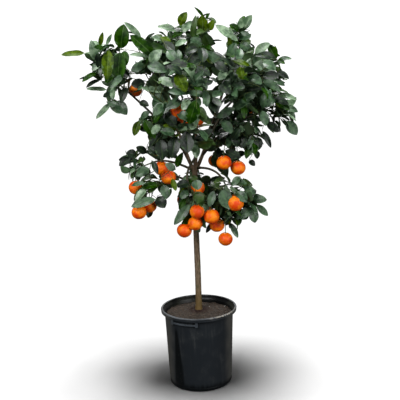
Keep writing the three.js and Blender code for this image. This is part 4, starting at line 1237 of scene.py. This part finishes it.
def limb_path(limb, count, collar=0.0):
    steps = np.linspace(0, 1, count)
    points = np.array([limb.at(t) for t in steps])
    swell = [1 + collar * max(0, 1 - t / COLLAR_END) for t in steps]
    return points, np.array([limb.radius_at(t) * more for t, more in zip(steps, swell)])


def sweep_piece(name, paths, sides, relief, grain, finish):
    values = {"Sides": sides, "Relief": relief, "Grain": grain, "Finish": finish}
    return made_by(name, path_mesh(name, paths), SWEEP, values)


trunk_paths = [limb_path(limbs["trunk"], 160)]
limb_paths = [limb_path(limbs[name], 90, COLLAR) for name, *_ in LIMBS]
bough_paths = [limb_path(mass.bough, 40, 2 * COLLAR) for mass in masses if mass.place < 1]
trunk_bark = sweep_piece("trunk_bark", trunk_paths, 32, 0.16, (140, 140, 38), TRUNK_BARK)
limbs_bark = sweep_piece("limbs_bark", limb_paths, 20, 0.2, (150, 150, 60), TRUNK_BARK)
boughs_bark = sweep_piece("boughs_bark", bough_paths, 12, 0.25, (220, 220, 120), YOUNG_BARK)

# %% [markdown]
# ## Twigs
# The same sweep, with five sides and almost no relief, turns every stem, shoot, twig and
# fruit stalk into one thin green-brown mesh.

# %% Twigs as a mesh
twig_paths = [(twig.path, mix(*twig.radii, np.linspace(0, 1, TWIG_STEPS + 1)))
              for mass in masses for twig in twigs_of[mass.name]]
for mass in masses:
    for stalk in mass.stalks:
        path = np.array([quadratic(stalk, k / STALK_STEPS) for k in range(STALK_STEPS + 1)])
        twig_paths.append((path, np.linspace(*STALK_RADII, STALK_STEPS + 1)))
twigs = sweep_piece("twigs", twig_paths, 5, 0.1, (200, 200, 200), TWIG_BARK)

# %% [markdown]
# ## Leaf shapes
# A citrus leaf is a leathery oval with a drawn-out tip, folded a little along its midrib and
# often arched or waved. A flat card would do from far away, but the fold is what catches the
# light. Six closed blades of 64 faces differ in fold, arch and wave. Each lies
# along X from 0 to 1, so a size and a turn put it anywhere; its faces carry a number for
# the finish they get: 0 for the upper side, 1 for the underside, 2 for the midrib.

# %% Leaf blades
STATIONS = [(0, 0.02), (0.07, 0.026), (0.12, 0.17), (0.22, 0.35), (0.36, 0.47), (0.52, 0.5),
            (0.68, 0.455), (0.82, 0.34), (0.93, 0.18), (1, 0)]
COLUMNS = (-1, -0.55, -0.06, 0.06, 0.55, 1)
BLADE_THICKNESS = 0.012
BLADE_SEED = 77
ARCHES, FOLDS, WAVES = (-0.04, 0.15), (0.05, 0.25), (0.01, 0.035)
UPPER_MARKS, LOWER_MARKS = (0, 0, 2, 0, 0), (1, 1)


def blade_height(t, side, arch, fold, wave, phase):
    """How high the blade is at a place along it and across it, as a part of its length."""
    body = arch * math.sin(math.pi * t) + fold * abs(side) * 0.5
    return body + wave * math.sin(9 * t + phase) * side * abs(side) - 0.1 * fold * side**4


def leaf_mesh(number):
    draw = seeded_random(BLADE_SEED + number)
    arch, fold, wave = (mix(*limits, draw()) for limits in (ARCHES, FOLDS, WAVES))
    phase = 6 * draw()
    points, upper, lower = [], [], []
    for t, half in STATIONS:
        if half == 0:
            points.append((1, 0, 0))
            upper.append([len(points) - 1] * len(COLUMNS))
            lower.append([len(points) - 1] * 3)
            continue
        row = []
        for side in COLUMNS:
            height = blade_height(t, side * half / 0.5, arch, fold, wave, phase)
            points.append((t, side * half, height))
            row.append(len(points) - 1)
        points.append((t, 0, blade_height(t, 0, arch, fold, wave, phase) - BLADE_THICKNESS))
        upper.append(row)
        lower.append([row[0], len(points) - 1, row[-1]])
    faces, finishes = [], []
    for k in range(len(STATIONS) - 1):
        for rows, marks in ((upper, UPPER_MARKS), (lower, LOWER_MARKS)):
            for j, mark in enumerate(marks):
                face = [rows[k][j], rows[k + 1][j], rows[k + 1][j + 1], rows[k][j + 1]]
                face = list(dict.fromkeys(face))
                faces.append(face[::-1] if rows is lower else face)
                finishes.append(mark)
    faces.append(upper[0] + [lower[0][1]])
    finishes.append(1)
    mesh = bpy.data.meshes.new(f"leaf_{number}")
    mesh.from_pydata(points, [], faces)
    mesh.shade_smooth()
    rims = {row[0] for row in upper} | {row[-1] for row in upper}
    sharp = mesh.attributes.new("sharp_edge", "BOOLEAN", "EDGE")
    for edge in mesh.edges:
        sharp.data[edge.index].value = set(edge.vertices) <= rims
    store(mesh, "finish", "INT", finishes, "FACE")
    return mesh


def collection_of(name, meshes):
    """A collection of shapes for a tree to choose from, kept out of the scene."""
    collection = bpy.data.collections.new(name)
    for mesh in meshes:
        collection.objects.link(bpy.data.objects.new(mesh.name, mesh))
    return collection


LEAF_SHAPES = collection_of("leaf_shapes", [leaf_mesh(k) for k in range(SHAPES)])

# %% [markdown]
# ## Putting shapes on points
# The second tree takes a cloud of points. Each point carries a turn, a size and the number
# of a shape. Instance on Points picks that shape from a collection, Realize makes it real,
# and three Set Material nodes give each face the finish of its number.

# %% The planting tree
MARKS = range(3)


def planting_tree():
    inputs = {"Shapes": "Collection", **{f"Finish {k}": "Material" for k in MARKS}}
    tree, given = new_tree("planting", inputs)
    spots = nodes_in(tree, "GeometryNodeMeshToPoints", None, {"Mesh": given["Geometry"]})
    shelf = {"Collection": given["Shapes"], "Separate Children": True, "Reset Children": True}
    shelf = nodes_in(tree, "GeometryNodeCollectionInfo", None, shelf)
    turn = nodes_in(tree, "FunctionNodeEulerToRotation", None,
                    {0: attribute_of(tree, "turn", "FLOAT_VECTOR")})
    planted = nodes_in(tree, "GeometryNodeInstanceOnPoints", None, {
        "Points": spots, "Instance": shelf, "Pick Instance": True, "Rotation": turn,
        "Instance Index": attribute_of(tree, "shape", "INT"),
        "Scale": attribute_of(tree, "size", "FLOAT_VECTOR")})
    made = nodes_in(tree, "GeometryNodeRealizeInstances", None, {0: planted})
    mark = attribute_of(tree, "finish", "INT")
    for k in MARKS:
        same = nodes_in(tree, "FunctionNodeCompare", {"data_type": "INT", "operation": "EQUAL"},
                        {"A": mark, "B": k})
        finish = {"Geometry": made, "Selection": same, "Material": given[f"Finish {k}"]}
        made = nodes_in(tree, "GeometryNodeSetMaterial", None, finish)
    end_tree(tree, made)
    return tree


PLANTING = planting_tree()


def points_mesh(name, rows):
    """Points in metres with a turn, a size and a shape: rows of (place, frame, size, shape)."""
    mesh = bpy.data.meshes.new(name)
    mesh.from_pydata([tuple(place / 1000) for place, *_ in rows], [], [])
    turns = [tuple(Matrix(frame.T.tolist()).to_euler("XYZ")) for _, frame, _, _ in rows]
    store(mesh, "turn", "FLOAT_VECTOR", turns)
    store(mesh, "size", "FLOAT_VECTOR", [tuple(size / 1000) for _, _, size, _ in rows])
    store(mesh, "shape", "INT", [shape for *_, shape in rows])
    return mesh


def upright_axes(lean, draw, angle):
    """Axes that stand nearly upright, turned by an angle or else by a drawn one."""
    upright = unit(point((mix(*lean, draw()), mix(*lean, draw()), 1)))
    angle = FULL_TURN * draw() if angle is None else angle
    sideways = turn_face(upright, point((math.cos(angle), math.sin(angle), 0)))
    return np.array([sideways, np.cross(upright, sideways), upright])


def plant(name, rows, shapes, finishes):
    values = {f"Finish {k}": finish for k, finish in enumerate(finishes)}
    values["Shapes"] = shapes
    return made_by(name, points_mesh(name, rows), PLANTING, values)


print("planting tree:", len(PLANTING.nodes), "nodes")

# %% [markdown]
# ## Leaf finishes
# The upper side is dark and leathery with a satin sheen, the underside paler and matt, the
# midrib a fine light line. A single green would look like plastic, so each spray takes one
# of six base colours, and a soft mottle and a fine grain break up each blade. One of the six
# is a painted sheen: a paler grey-green that stands in for the sky's sheen on the upper side.
# The sheen varies with the mottle, because dust lies on some leaves.

# %% Leaf finishes
LEAF_TONES = {
    "d": ("deep", colour(2, 14, 4), colour(22, 40, 22), 0.3),
    "m": ("middle", colour(27, 52, 29), colour(66, 94, 64), 0.44),
    "f": ("fresh", colour(31, 52, 12), colour(56, 80, 32), 0.3),
    # p is a painted sheen: a paler grey-green base colour that stands in for the sky's sheen on
    # leaves.
    "p": ("pale", colour(66, 92, 64), colour(124, 148, 117), 0.6),
    "o": ("olive", colour(9, 36, 0), colour(33, 66, 2), 0.08),
    "y": ("young", colour(34, 54, 0), colour(70, 92, 2), 0.08),
}
UNDER_TINT = colour(82, 108, 72)
RIB_TINT = colour(112, 138, 84)
LEAF_GRAIN = 0.0006


def leaf_finish(name, deep, light, rough, gloss):
    shader = Shader(name)
    mottle = shader.noise(0.022, 4, rough=0.62)
    fine = shader.noise(0.004, 2)
    tint = shader.mix(mottle.rise(0.38, 0.62), deep, light)
    tint = shader.mix(fine.rise(0.5, 0.8) * 0.35, tint, light)
    relief = shader.bump(fine + mottle, LEAF_GRAIN)
    return shader.finish(tint, rough + mottle * 0.18, relief, gloss)


def mixed(first, second, share):
    return tuple(mix(a, b, share) for a, b in zip(first, second))


def tone_finishes(word, deep, light, gloss):
    """Finishes of the upper side, the underside and the midrib of one tone."""
    upper = leaf_finish(f"leaf_{word}", deep, light, 0.32, gloss)
    under = leaf_finish(f"leaf_{word}_under", mixed(deep, UNDER_TINT, 0.5),
                        mixed(light, UNDER_TINT, 0.5), 0.6, 0.25)
    rib = leaf_finish(f"leaf_{word}_rib", mixed(deep, light, 0.6),
                      mixed(light, RIB_TINT, 0.22), 0.45, 0.2)
    return upper, under, rib


# %% Leaves as meshes
leaf_pieces = []
for tone, look in LEAF_TONES.items():
    rows = [(root, np.array([direction, np.cross(up, direction), up]),
             np.array([length, width, length]), shape)
            for root, direction, up, length, width, shape, own in leaves.rows if own == tone]
    leaf_pieces.append(plant(f"leaves_{look[0]}", rows, LEAF_SHAPES, tone_finishes(*look)))

# %% [markdown]
# ## Oranges
# An orange isn't a ball: it is a little flattened, sinks in round the stalk with short
# furrows, and has pores all over. A globe of rings is shaped by angle: flattening, dimple,
# furrows and slow lumps. A five-lobed green calyx closes the dimple. The pores are left to
# the finish as a bump.

# %% Orange shapes
ORANGE_RINGS = 26
ORANGE_SIDES = 40
ORANGE_FLAT = 0.95
FURROWS = 9
CALYX_LOBES = 5


def orange_radius(polar, azimuth, lumps):
    """How far the peel lies from the middle, at an angle from the stalk and one round it."""
    dimple = 0.09 * math.exp(-((polar / 0.26) ** 2))
    furrow = 0.012 * math.cos(FURROWS * azimuth) * math.exp(-(((polar - 0.3) / 0.18) ** 2))
    navel = 0.03 * math.exp(-(((math.pi - polar) / 0.16) ** 2))
    slow = 0.012 * math.sin(2 * azimuth + lumps) * math.sin(polar)
    slow += 0.01 * math.cos(3 * polar + lumps)
    return 1 - dimple + furrow - navel + slow


def orange_mesh(number):
    lumps = 2.1 * number
    stalk_end = ORANGE_FLAT * orange_radius(0, 0, lumps)
    points = [(0, 0, stalk_end)]
    for ring in range(1, ORANGE_RINGS):
        polar = math.pi * ring / ORANGE_RINGS
        for side in range(ORANGE_SIDES):
            azimuth = FULL_TURN * side / ORANGE_SIDES
            radius = orange_radius(polar, azimuth, lumps)
            wide = radius * math.sin(polar)
            points.append((wide * math.cos(azimuth), wide * math.sin(azimuth),
                           ORANGE_FLAT * radius * math.cos(polar)))
    points.append((0, 0, -ORANGE_FLAT * orange_radius(math.pi, 0, lumps)))
    faces = []
    for side in range(ORANGE_SIDES):
        after = (side + 1) % ORANGE_SIDES
        faces.append((0, 1 + side, 1 + after))
        for ring in range(ORANGE_RINGS - 2):
            a, b = 1 + ring * ORANGE_SIDES + side, 1 + ring * ORANGE_SIDES + after
            faces.append((a, a + ORANGE_SIDES, b + ORANGE_SIDES, b))
        low = 1 + (ORANGE_RINGS - 2) * ORANGE_SIDES
        faces.append((low + side, len(points) - 1, low + after))
    peel_faces = len(faces)
    add_calyx(points, faces, stalk_end)
    mesh = bpy.data.meshes.new(f"orange_{number}")
    mesh.from_pydata(points, [], faces)
    mesh.shade_smooth()
    store(mesh, "finish", "INT", [k >= peel_faces for k in range(len(faces))], "FACE")
    return mesh


def add_calyx(points, faces, height):
    """A closed green star in the dimple: a top point, a lobed rim and a point below."""
    first = len(points)
    count = 4 * CALYX_LOBES
    points.append((0, 0, height + 0.05))
    for k in range(count):
        angle = FULL_TURN * k / count
        reach = 0.15 + 0.05 * math.cos(CALYX_LOBES * angle)
        points.append((reach * math.cos(angle), reach * math.sin(angle), height + 0.035))
    points.append((0, 0, height - 0.03))
    for k in range(count):
        a, b = first + 1 + k, first + 1 + (k + 1) % count
        faces.append((first, a, b))
        faces.append((first + count + 1, b, a))


ORANGE_KINDS = 3
ORANGE_SHAPES = collection_of("orange_shapes", [orange_mesh(k) for k in range(ORANGE_KINDS)])

# %% [markdown]
# ## Peel
# Ripe peel is a deep warm orange with a waxy shine. Two noises vary it between yellow-orange
# and red-orange in patches; small pores, from a Voronoi pattern, dent it. Too strong a sheen
# would whiten it under the softboxes, so it stays low.

# %% Peel and calyx finishes
def peel_finish():
    shader = Shader("orange_peel")
    patches = shader.noise(0.03, 2)
    specks = shader.noise(0.003, 2)
    tint = shader.mix(patches.rise(0.35, 0.66), colour(216, 64, 0), colour(250, 132, 0))
    tint = shader.mix(specks.rise(0.6, 0.8) * 0.5, tint, colour(206, 60, 2))
    inputs = {"Vector": shader.place, "Scale": 620.0}
    pores = shader.node("ShaderNodeTexVoronoi", {"feature": "SMOOTH_F1"}, inputs)
    relief = shader.bump(pores.rise(0.0, 0.6) + patches * 0.5, 0.0007, 0.8)
    return shader.finish(tint, 0.36 + patches * 0.14, relief, 0.3)


PEEL = peel_finish()
CALYX = leaf_finish("calyx", colour(78, 92, 40), colour(112, 120, 62), 0.6, 0.3)
print("finishes of the fruit:", PEEL.name, CALYX.name)

# %% Oranges as a mesh
ORANGE_SEED = 4100
ORANGE_LEAN, ORANGE_SIZES = (-0.12, 0.12), (0.95, 1.01)
LARGE_ORANGES = {8: 1.07, 11: 1.14}
draw = seeded_random(ORANGE_SEED)
rows = []
for k, middle in enumerate(oranges):
    axes = upright_axes(ORANGE_LEAN, draw, None)
    size = ORANGE_RADIUS * mix(*ORANGE_SIZES, draw()) * LARGE_ORANGES.get(k, 1)
    rows.append((middle, axes, np.full(3, size), k % ORANGE_KINDS))
oranges_piece = plant("oranges", rows, ORANGE_SHAPES, (PEEL, CALYX, CALYX))

# %% [markdown]
# ## Pot
# A nursery pot is blown or moulded from black plastic: a thin wall with a slight flare, a
# foot rounded off at its edge, a rolled rim on a short skirt, two moulded grips and drain
# holes. Its section is a list of radius and height, spun into rings. The section is drawn
# with many close points where the plastic bends, so that the bends stay crisp without
# a bevel.

# %% Pot section
POT_HEIGHT, POT_BASE, POT_TOP, POT_WALL = 326, 132, 145, 2.5
RIM_OUT, RIM_DROP, RIM_BEAD = 160, 16, 5
POT_SIDES = 128


def wall_at(height):
    return mix(POT_BASE, POT_TOP, height / POT_HEIGHT)


def arc(radius, height, size, start, end, count):
    """Points of a round bend, from one angle to another in degrees."""
    angles = np.radians(np.linspace(start, end, count))
    return [(radius + size * math.cos(a), height + size * math.sin(a)) for a in angles]


def pot_section():
    foot = 8
    skirt = POT_HEIGHT - RIM_DROP
    bead = POT_HEIGHT - RIM_BEAD
    section = [(0, 0.4), (60, 0.4), (100, 0.4), (104, 0), (wall_at(0) - foot, 0)]
    section += arc(wall_at(foot) - foot, foot, foot, -90, 0, 7)[1:]
    section += [(wall_at(z) - 0.8 * dip, z) for z, dip in
                ((13, 0), (14.5, 1), (17, 1), (18.5, 0), (40, 0), (100, 0), (170, 0), (240, 0))]
    section += [(wall_at(296), 296), (wall_at(skirt) - 1, skirt - 3)]
    section += [(wall_at(skirt) + 0.6, skirt - 0.8)]
    section += arc(RIM_OUT - 3, skirt + 2.2, 2, -100, 0, 5)
    section += [(RIM_OUT - 1.2, bead - 5), (RIM_OUT - 1.6, bead - 4)]
    section += arc(RIM_OUT - RIM_BEAD, bead, RIM_BEAD, -35, 180, 13)
    section += [(RIM_OUT - 2 * RIM_BEAD, bead - 3), (wall_at(skirt) - POT_WALL + 2, skirt + 2)]
    section += [(wall_at(skirt) - POT_WALL, skirt - 2), (wall_at(200) - POT_WALL, 200)]
    section += [(wall_at(60) - POT_WALL, 60), (wall_at(6) - POT_WALL - 5, 5), (100, 4), (0, 4)]
    return section


def spun(section, sides):
    """Points and faces of a section spun about Z; both its ends lie on the axis."""
    points = [(0, 0, section[0][1])]
    for radius, height in section[1:-1]:
        for side in range(sides):
            angle = FULL_TURN * side / sides
            points.append((radius * math.cos(angle), radius * math.sin(angle), height))
    points.append((0, 0, section[-1][1]))
    faces = []
    for side in range(sides):
        after = (side + 1) % sides
        faces.append((0, 1 + after, 1 + side))
        for ring in range(len(section) - 3):
            a, b = 1 + ring * sides + side, 1 + ring * sides + after
            faces.append((a, b, b + sides, a + sides))
        last = 1 + (len(section) - 3) * sides
        faces.append((last + side, last + after, len(points) - 1))
    return points, faces


pot_points, pot_faces = spun(pot_section(), POT_SIDES)
print("pot:", len(pot_faces), "faces,", max(z for _, _, z in pot_points), "mm tall")

# %% [markdown]
# ## Grips
# Under the rim on two opposite sides there is a bar that follows the wall, with an upright
# end plate at each side of it. A block between two angles, two radii and two heights is
# bent round the pot; its outer edges are drawn in by a millimetre, because moulded edges
# are never sharp.

# %% Grips and drain holes
GRIP_ANGLES = (-115, 65)
GRIP_SPAN, GRIP_TOP, GRIP_HEIGHT, GRIP_REACH, GRIP_ROOT = 46, 299, 7, 9, 6
GRIP_END, GRIP_END_HEIGHT, GRIP_END_RISE = 4, 20, 8
DRAIN_HOLES, DRAIN_RADIUS, DRAIN_CIRCLE, DRILL_HEIGHTS = 6, 8, 92, (-5, 12)
SOFT_EDGE = 1.0
SHARP_FROM = 40


def bent_block(middle, span, inner, outer, low, high, count):
    """Points and faces of a block that follows the wall, with softened outer edges."""
    section = [(inner, low), (outer - SOFT_EDGE, low), (outer, low + SOFT_EDGE),
               (outer, high - SOFT_EDGE), (outer - SOFT_EDGE, high), (inner, high)]
    points, faces = [], []
    size = len(section)
    for k in range(count + 1):
        angle = math.radians(middle + span * (k / count - 0.5))
        points += [(r * math.cos(angle), r * math.sin(angle), z) for r, z in section]
    for k in range(count):
        for j in range(size):
            a, b = k * size + j, k * size + (j + 1) % size
            faces.append((a, b, b + size, a + size)[::-1])
    faces.append(tuple(range(size)))
    faces.append(tuple(range(count * size, (count + 1) * size))[::-1])
    return points, faces


def joined(parts):
    """One list of points and one of faces from several bodies."""
    points, faces = [], []
    for part_points, part_faces in parts:
        first = len(points)
        points += part_points
        faces += [tuple(first + k for k in face) for face in part_faces]
    return points, faces


def grip(middle):
    """The bar of a grip and its two end plates."""
    inner, outer = POT_TOP - GRIP_ROOT, POT_TOP + GRIP_REACH
    plate_low = GRIP_TOP + GRIP_END_RISE - GRIP_END_HEIGHT
    blocks = [(middle, GRIP_SPAN, GRIP_TOP - GRIP_HEIGHT, GRIP_TOP, 24)]
    for side in (-1, 1):
        place = middle + side * (GRIP_SPAN - GRIP_END) / 2
        blocks.append((place, GRIP_END, plate_low, plate_low + GRIP_END_HEIGHT, 3))
    return [bent_block(place, span, inner, outer, low, high, count)
            for place, span, low, high, count in blocks]


pot_body = joined([(pot_points, pot_faces), *grip(GRIP_ANGLES[0]), *grip(GRIP_ANGLES[1])])


def plain_object(name, points, faces, finish):
    mesh = bpy.data.meshes.new(name)
    mesh.from_pydata([tuple(k / 1000 for k in p) for p in points], [], faces)
    mesh.shade_smooth()
    mesh.materials.append(finish)
    return in_scene(name, mesh)


print("pot and grips:", len(pot_body[1]), "faces")

# %% [markdown]
# ## Black plastic
# The plastic is satin and nearly black with a cold cast. Dust makes it grey in clouds and in
# faint vertical runs, and it is greyer towards its left and right sides. The rolled rim has a
# painted highlight, a light line along its top that turns bright beige in spots on the right
# front, and the grip bars are painted a lighter grey as a painted highlight. The rim's inner
# side and the inner wall above the soil are painted nearly black as painted shade. A darker
# run goes down the left of the front, and the wall is darker towards the bottom. The place
# round the pot comes from the angle of the Object coordinates, so it stays put in any view.

# %% Pot finish
def plastic_finish():
    shader = Shader("pot_plastic")
    x, y, height = (shader.axis(name) for name in "XYZ")
    angle = y.maths("ARCTAN2", x)
    out = (x * x + y * y).maths("SQRT")
    runs = shader.noise(0.011, 3, (1, 1, 14))
    clouds = shader.noise(0.06, 3)
    specks = shader.noise(0.0035, 2)
    sides = x.maths("ABSOLUTE").rise(0.095, 0.135)
    dust = clouds.rise(0.4, 0.8) * 0.25 + runs.rise(0.5, 0.8) * 0.25 + sides * 0.55
    # A darker run down the left of the front, and the wall darker towards the bottom.
    middle = math.radians(-132)
    width = 0.03 + (1 - height.rise(0.0, 0.33)) * 0.17
    off = (angle - middle).maths("ABSOLUTE").maths("DIVIDE", width) + runs * 0.6 - 0.3
    darker_run_and_foot = (1 - off.rise(0.75, 1.2)) * (1 - height.rise(0.25, 0.28))
    darker_run_and_foot = darker_run_and_foot.maths("MAXIMUM", 1 - (height + runs * 0.03).rise(0.025, 0.048))
    # Painted shade: the rim's inner side and the inner wall above the soil are painted nearly
    # black.
    shaded_lip = height.rise(0.3095, 0.3115) * (1 - out.rise(0.1505, 0.152))
    inner = height.rise(0.285, 0.29) * (1 - out.rise(0.1425, 0.1434))
    inner = inner.maths("MAXIMUM", shaded_lip)
    film = shader.mix(dust.rise(0.0, 0.9), colour(27, 31, 35), colour(66, 68, 68))
    film = shader.mix(sides * (0.35 + clouds.rise(0.3, 0.7) * 0.4), film, colour(70, 68, 62))
    tint = shader.mix(darker_run_and_foot, film, colour(4, 7, 9))
    # Painted highlight: the grip bars are painted a lighter grey, varied by the clouds.
    grip = out.rise(0.1485, 0.1500) * (1 - height.rise(0.3080, 0.3095))
    tint = shader.mix(grip * (0.35 + clouds.rise(0.3, 0.7) * 0.45), tint, colour(72, 78, 84))
    # The colour of the painted shade inside the pot: nearly black, clouded with grey.
    inner_shade = shader.mix(clouds.rise(0.4, 0.7), colour(7, 8, 8), colour(34, 36, 30))
    tint = shader.mix(inner, tint, inner_shade)
    # Painted highlight: a light line along the top of the rolled rim, stronger where the clouds
    # are; on the right front it turns bright beige in spots.
    bead = height.rise(0.3205, 0.3240) * out.rise(0.1505, 0.1535)
    beige_spots = x.rise(0.03, 0.08) * (1 - y.rise(-0.1, 0.0)) * runs.rise(0.42, 0.55)
    bead = bead * (0.3 + clouds.rise(0.35, 0.65) * 0.7)
    tint = shader.mix(bead, tint, shader.mix(beige_spots, colour(96, 100, 104), colour(190, 184, 170)))
    spots = specks.rise(0.66, 0.72) * clouds.rise(0.5, 0.7) * (1 - inner)
    tint = shader.mix(spots * 0.6, tint, colour(100, 100, 96))
    rough = 0.38 + dust.rise(0.0, 1.0) * 0.3 + bead * 0.1
    relief = shader.bump(clouds + runs * 0.4 + specks * 0.15, 0.0006)
    return shader.finish(tint, rough, relief, 0.22)


POT_PLASTIC = plastic_finish()
pot = plain_object("pot_shell", *pot_body, POT_PLASTIC)


def drill(piece):
    """Cuts the drain holes with one Boolean and makes its result the piece's mesh."""
    holes = []
    for k in range(DRAIN_HOLES):
        angle = FULL_TURN * k / DRAIN_HOLES
        cx, cy = DRAIN_CIRCLE * math.cos(angle), DRAIN_CIRCLE * math.sin(angle)
        low, high = DRILL_HEIGHTS
        hole, sides = spun([(0, low), (DRAIN_RADIUS, low), (DRAIN_RADIUS, high), (0, high)], 24)
        holes.append(([(px + cx, py + cy, pz) for px, py, pz in hole], sides))
    cutter = plain_object("drills", *joined(holes), POT_PLASTIC)
    cut = piece.modifiers.new("drain holes", "BOOLEAN")
    cut.operation, cut.solver, cut.object = "DIFFERENCE", "EXACT", cutter
    cut.use_self = True
    evaluated = piece.evaluated_get(bpy.context.evaluated_depsgraph_get())
    mesh = bpy.data.meshes.new_from_object(evaluated)
    piece.modifiers.remove(cut)
    piece.data = mesh
    bpy.data.objects.remove(cutter)


drill(pot)
pot.data.set_sharp_from_angle(angle=math.radians(SHARP_FROM))
print("pot with drain holes:", len(pot.data.polygons), "faces")

# %% [markdown]
# ## Potting soil
# The soil is a bed of dark bark and peat, mounded a little to the trunk, with loose crumbs
# on top and a white grain or two. One lumpy sheet can't show the loose bits, and a thousand
# modelled crumbs alone would float. So the bed is a closed body with a noisy top, and a
# Geometry Nodes tree scatters a few crumb shapes over that top.

# %% Soil bed
SOIL_EDGE, SOIL_CROWN, SOIL_FLOOR = 298, 303, 4.5
SOIL_MOUND, SOIL_MOUND_REACH = 4, 34
SOIL_RINGS, SOIL_SIDES = 34, 96
SOIL_OFF_WALL, SOIL_FOOT_IN = 3.6, 8


def soil_height(x, y):
    share = math.hypot(x, y) / wall_at(SOIL_EDGE)
    slope = SOIL_CROWN + (SOIL_EDGE - SOIL_CROWN) * max(0, (share - 0.35) / 0.65) ** 1.5
    foot = math.hypot(x - TRUNK[0][0], y - TRUNK[0][1])
    slope += SOIL_MOUND * math.exp(-((foot / SOIL_MOUND_REACH) ** 2))
    lumps = 1.3 * math.sin(x / 9 + 2 * math.sin(y / 13))
    lumps *= math.sin(y / 8 + 1.5 * math.sin(x / 11))
    fine = 0.8 * math.sin(x / 3.1 + 5) * math.sin(y / 2.7 + math.sin(x / 5))
    return slope + lumps + fine - 1.6


def soil_body():
    edge = wall_at(SOIL_EDGE) - SOIL_OFF_WALL
    foot = wall_at(SOIL_FLOOR) - SOIL_FOOT_IN
    section = [(0, SOIL_FLOOR), (foot, SOIL_FLOOR)]
    section += [(edge * k / SOIL_RINGS, 0) for k in range(SOIL_RINGS, 0, -1)] + [(0, 0)]
    points, faces = spun(section, SOIL_SIDES)
    raised = [(x, y, soil_height(x, y)) if z == 0 else (x, y, z) for x, y, z in points]
    return raised, faces


def soil_finish(name, dark, light, size):
    shader = Shader(name)
    patches = shader.noise(size * 4, 3)
    grains = shader.noise(size, 4, rough=0.65)
    tint = shader.mix(grains.rise(0.32, 0.7), dark, light)
    tint = shader.mix(patches.rise(0.5, 0.75) * 0.5, tint, colour(74, 56, 46))
    # Painted shade: a dark red-brown patch round the trunk's foot, where the trunk meets the soil.
    x, y = shader.axis("X"), shader.axis("Y") - TRUNK[0][1] / 1000
    foot = 1 - (x * x + y * y).maths("SQRT").rise(0.024, 0.062)
    tint = shader.mix(foot * patches.rise(0.25, 0.45) * 0.85, tint, colour(38, 18, 14))
    relief = shader.bump(grains + patches, 0.003)
    return shader.finish(tint, 0.85 + grains * 0.12, relief, 0.2)


SOIL_FINISH = soil_finish("potting_soil", colour(39, 33, 28), colour(78, 70, 62), 0.004)
soil = plain_object("soil_bed", *soil_body(), SOIL_FINISH)
print("soil:", len(soil.data.polygons), "faces")

# %% Crumbs
CRUMB_SEED, CHIP_SEED = 5200, 300
CRUMBS = 1500
CRUMB_SHAPES = 4
CRUMB_LEAN, CRUMB_SIZES, CRUMB_FORM = (-0.6, 0.6), (1.2, 3.6), point((1, 0.75, 0.7))
CRUMBS_OFF_WALL, CRUMBS_OFF_TRUNK = 9, 3
WHITE_SEEN_AT = (225, 305, -10)
WHITE_SIZE, HIDDEN_WHITE = 3.6, (46, 60, 1.8)


def crumb_mesh(number):
    """An angular chip of bark: an eight-cornered block with its corners shifted."""
    draw = seeded_random(CHIP_SEED + number)
    corners = [(x, y, z) for x in (-1, 1) for y in (-1, 1) for z in (-0.5, 0.5)]
    points = [tuple(c * mix(0.55, 1.0, draw()) for c in corner) for corner in corners]
    faces = [(0, 1, 3, 2), (4, 6, 7, 5), (0, 4, 5, 1), (2, 3, 7, 6), (0, 2, 6, 4), (1, 5, 7, 3)]
    mesh = bpy.data.meshes.new(f"crumb_{number}")
    mesh.from_pydata(points, [], faces)
    store(mesh, "finish", "INT", [number == CRUMB_SHAPES - 1] * len(faces), "FACE")
    return mesh


CRUMB_BITS = collection_of("crumb_shapes", [crumb_mesh(k) for k in range(CRUMB_SHAPES)])
draw = seeded_random(CRUMB_SEED)
rows = []
for k in range(CRUMBS):
    angle, share = FULL_TURN * draw(), math.sqrt(draw())
    x = (wall_at(SOIL_EDGE) - CRUMBS_OFF_WALL) * share * math.cos(angle)
    y = (wall_at(SOIL_EDGE) - CRUMBS_OFF_WALL) * share * math.sin(angle)
    axes = upright_axes(CRUMB_LEAN, draw, k)
    size = mix(*CRUMB_SIZES, draw() ** 2) * CRUMB_FORM
    if math.hypot(x - TRUNK[0][0], y - TRUNK[0][1]) > FLARE_RADIUS + CRUMBS_OFF_TRUNK:
        rows.append((point((x, y, soil_height(x, y) + 0.2)), axes, size, k % (CRUMB_SHAPES - 1)))
speck = seen_at(*WHITE_SEEN_AT)
share = (SOIL_CROWN / 1000 - EYE.z) / (speck[2] / 1000 - EYE.z)
speck = VIEWPOINT + (speck - VIEWPOINT) * share
for x, y, size in ((speck[0], speck[1], WHITE_SIZE), HIDDEN_WHITE):
    place = point((x, y, soil_height(x, y) + 1))
    rows.append((place, np.eye(3), np.full(3, size), CRUMB_SHAPES - 1))
CRUMB_FINISH = soil_finish("bark_crumbs", colour(50, 42, 36), colour(104, 90, 78), 0.003)
WHITE_GRAIN = soil_finish("white_grains", colour(196, 192, 184), colour(226, 224, 218), 0.001)
crumbs = plant("soil_crumbs", rows, CRUMB_BITS, (CRUMB_FINISH, WHITE_GRAIN, WHITE_GRAIN))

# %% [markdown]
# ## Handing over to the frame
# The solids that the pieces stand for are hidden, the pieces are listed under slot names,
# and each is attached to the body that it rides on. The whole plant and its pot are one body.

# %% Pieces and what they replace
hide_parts("trunk")
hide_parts(*MAIN_LIMBS)
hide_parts(*BOUGHS)
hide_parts("pot")
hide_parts("soil")
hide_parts(*FOLIAGE)
for piece in [*leaf_pieces, oranges_piece]:
    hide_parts(*FOLIAGE)
SLOTS = {
    "bark": [trunk_bark, limbs_bark],
    "young_bark": [boughs_bark, twigs],
    "foliage": [*leaf_pieces, oranges_piece],
    "pot_plastic": [pot],
    "potting_soil": [soil, crumbs],
}
for slot, slot_pieces in SLOTS.items():
    for piece in slot_pieces:
        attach(piece, "root")
faces = {piece.name: len(piece.data.polygons) for pieces in SLOTS.values() for piece in pieces}
print("faces:", faces, "in all", sum(faces.values()))
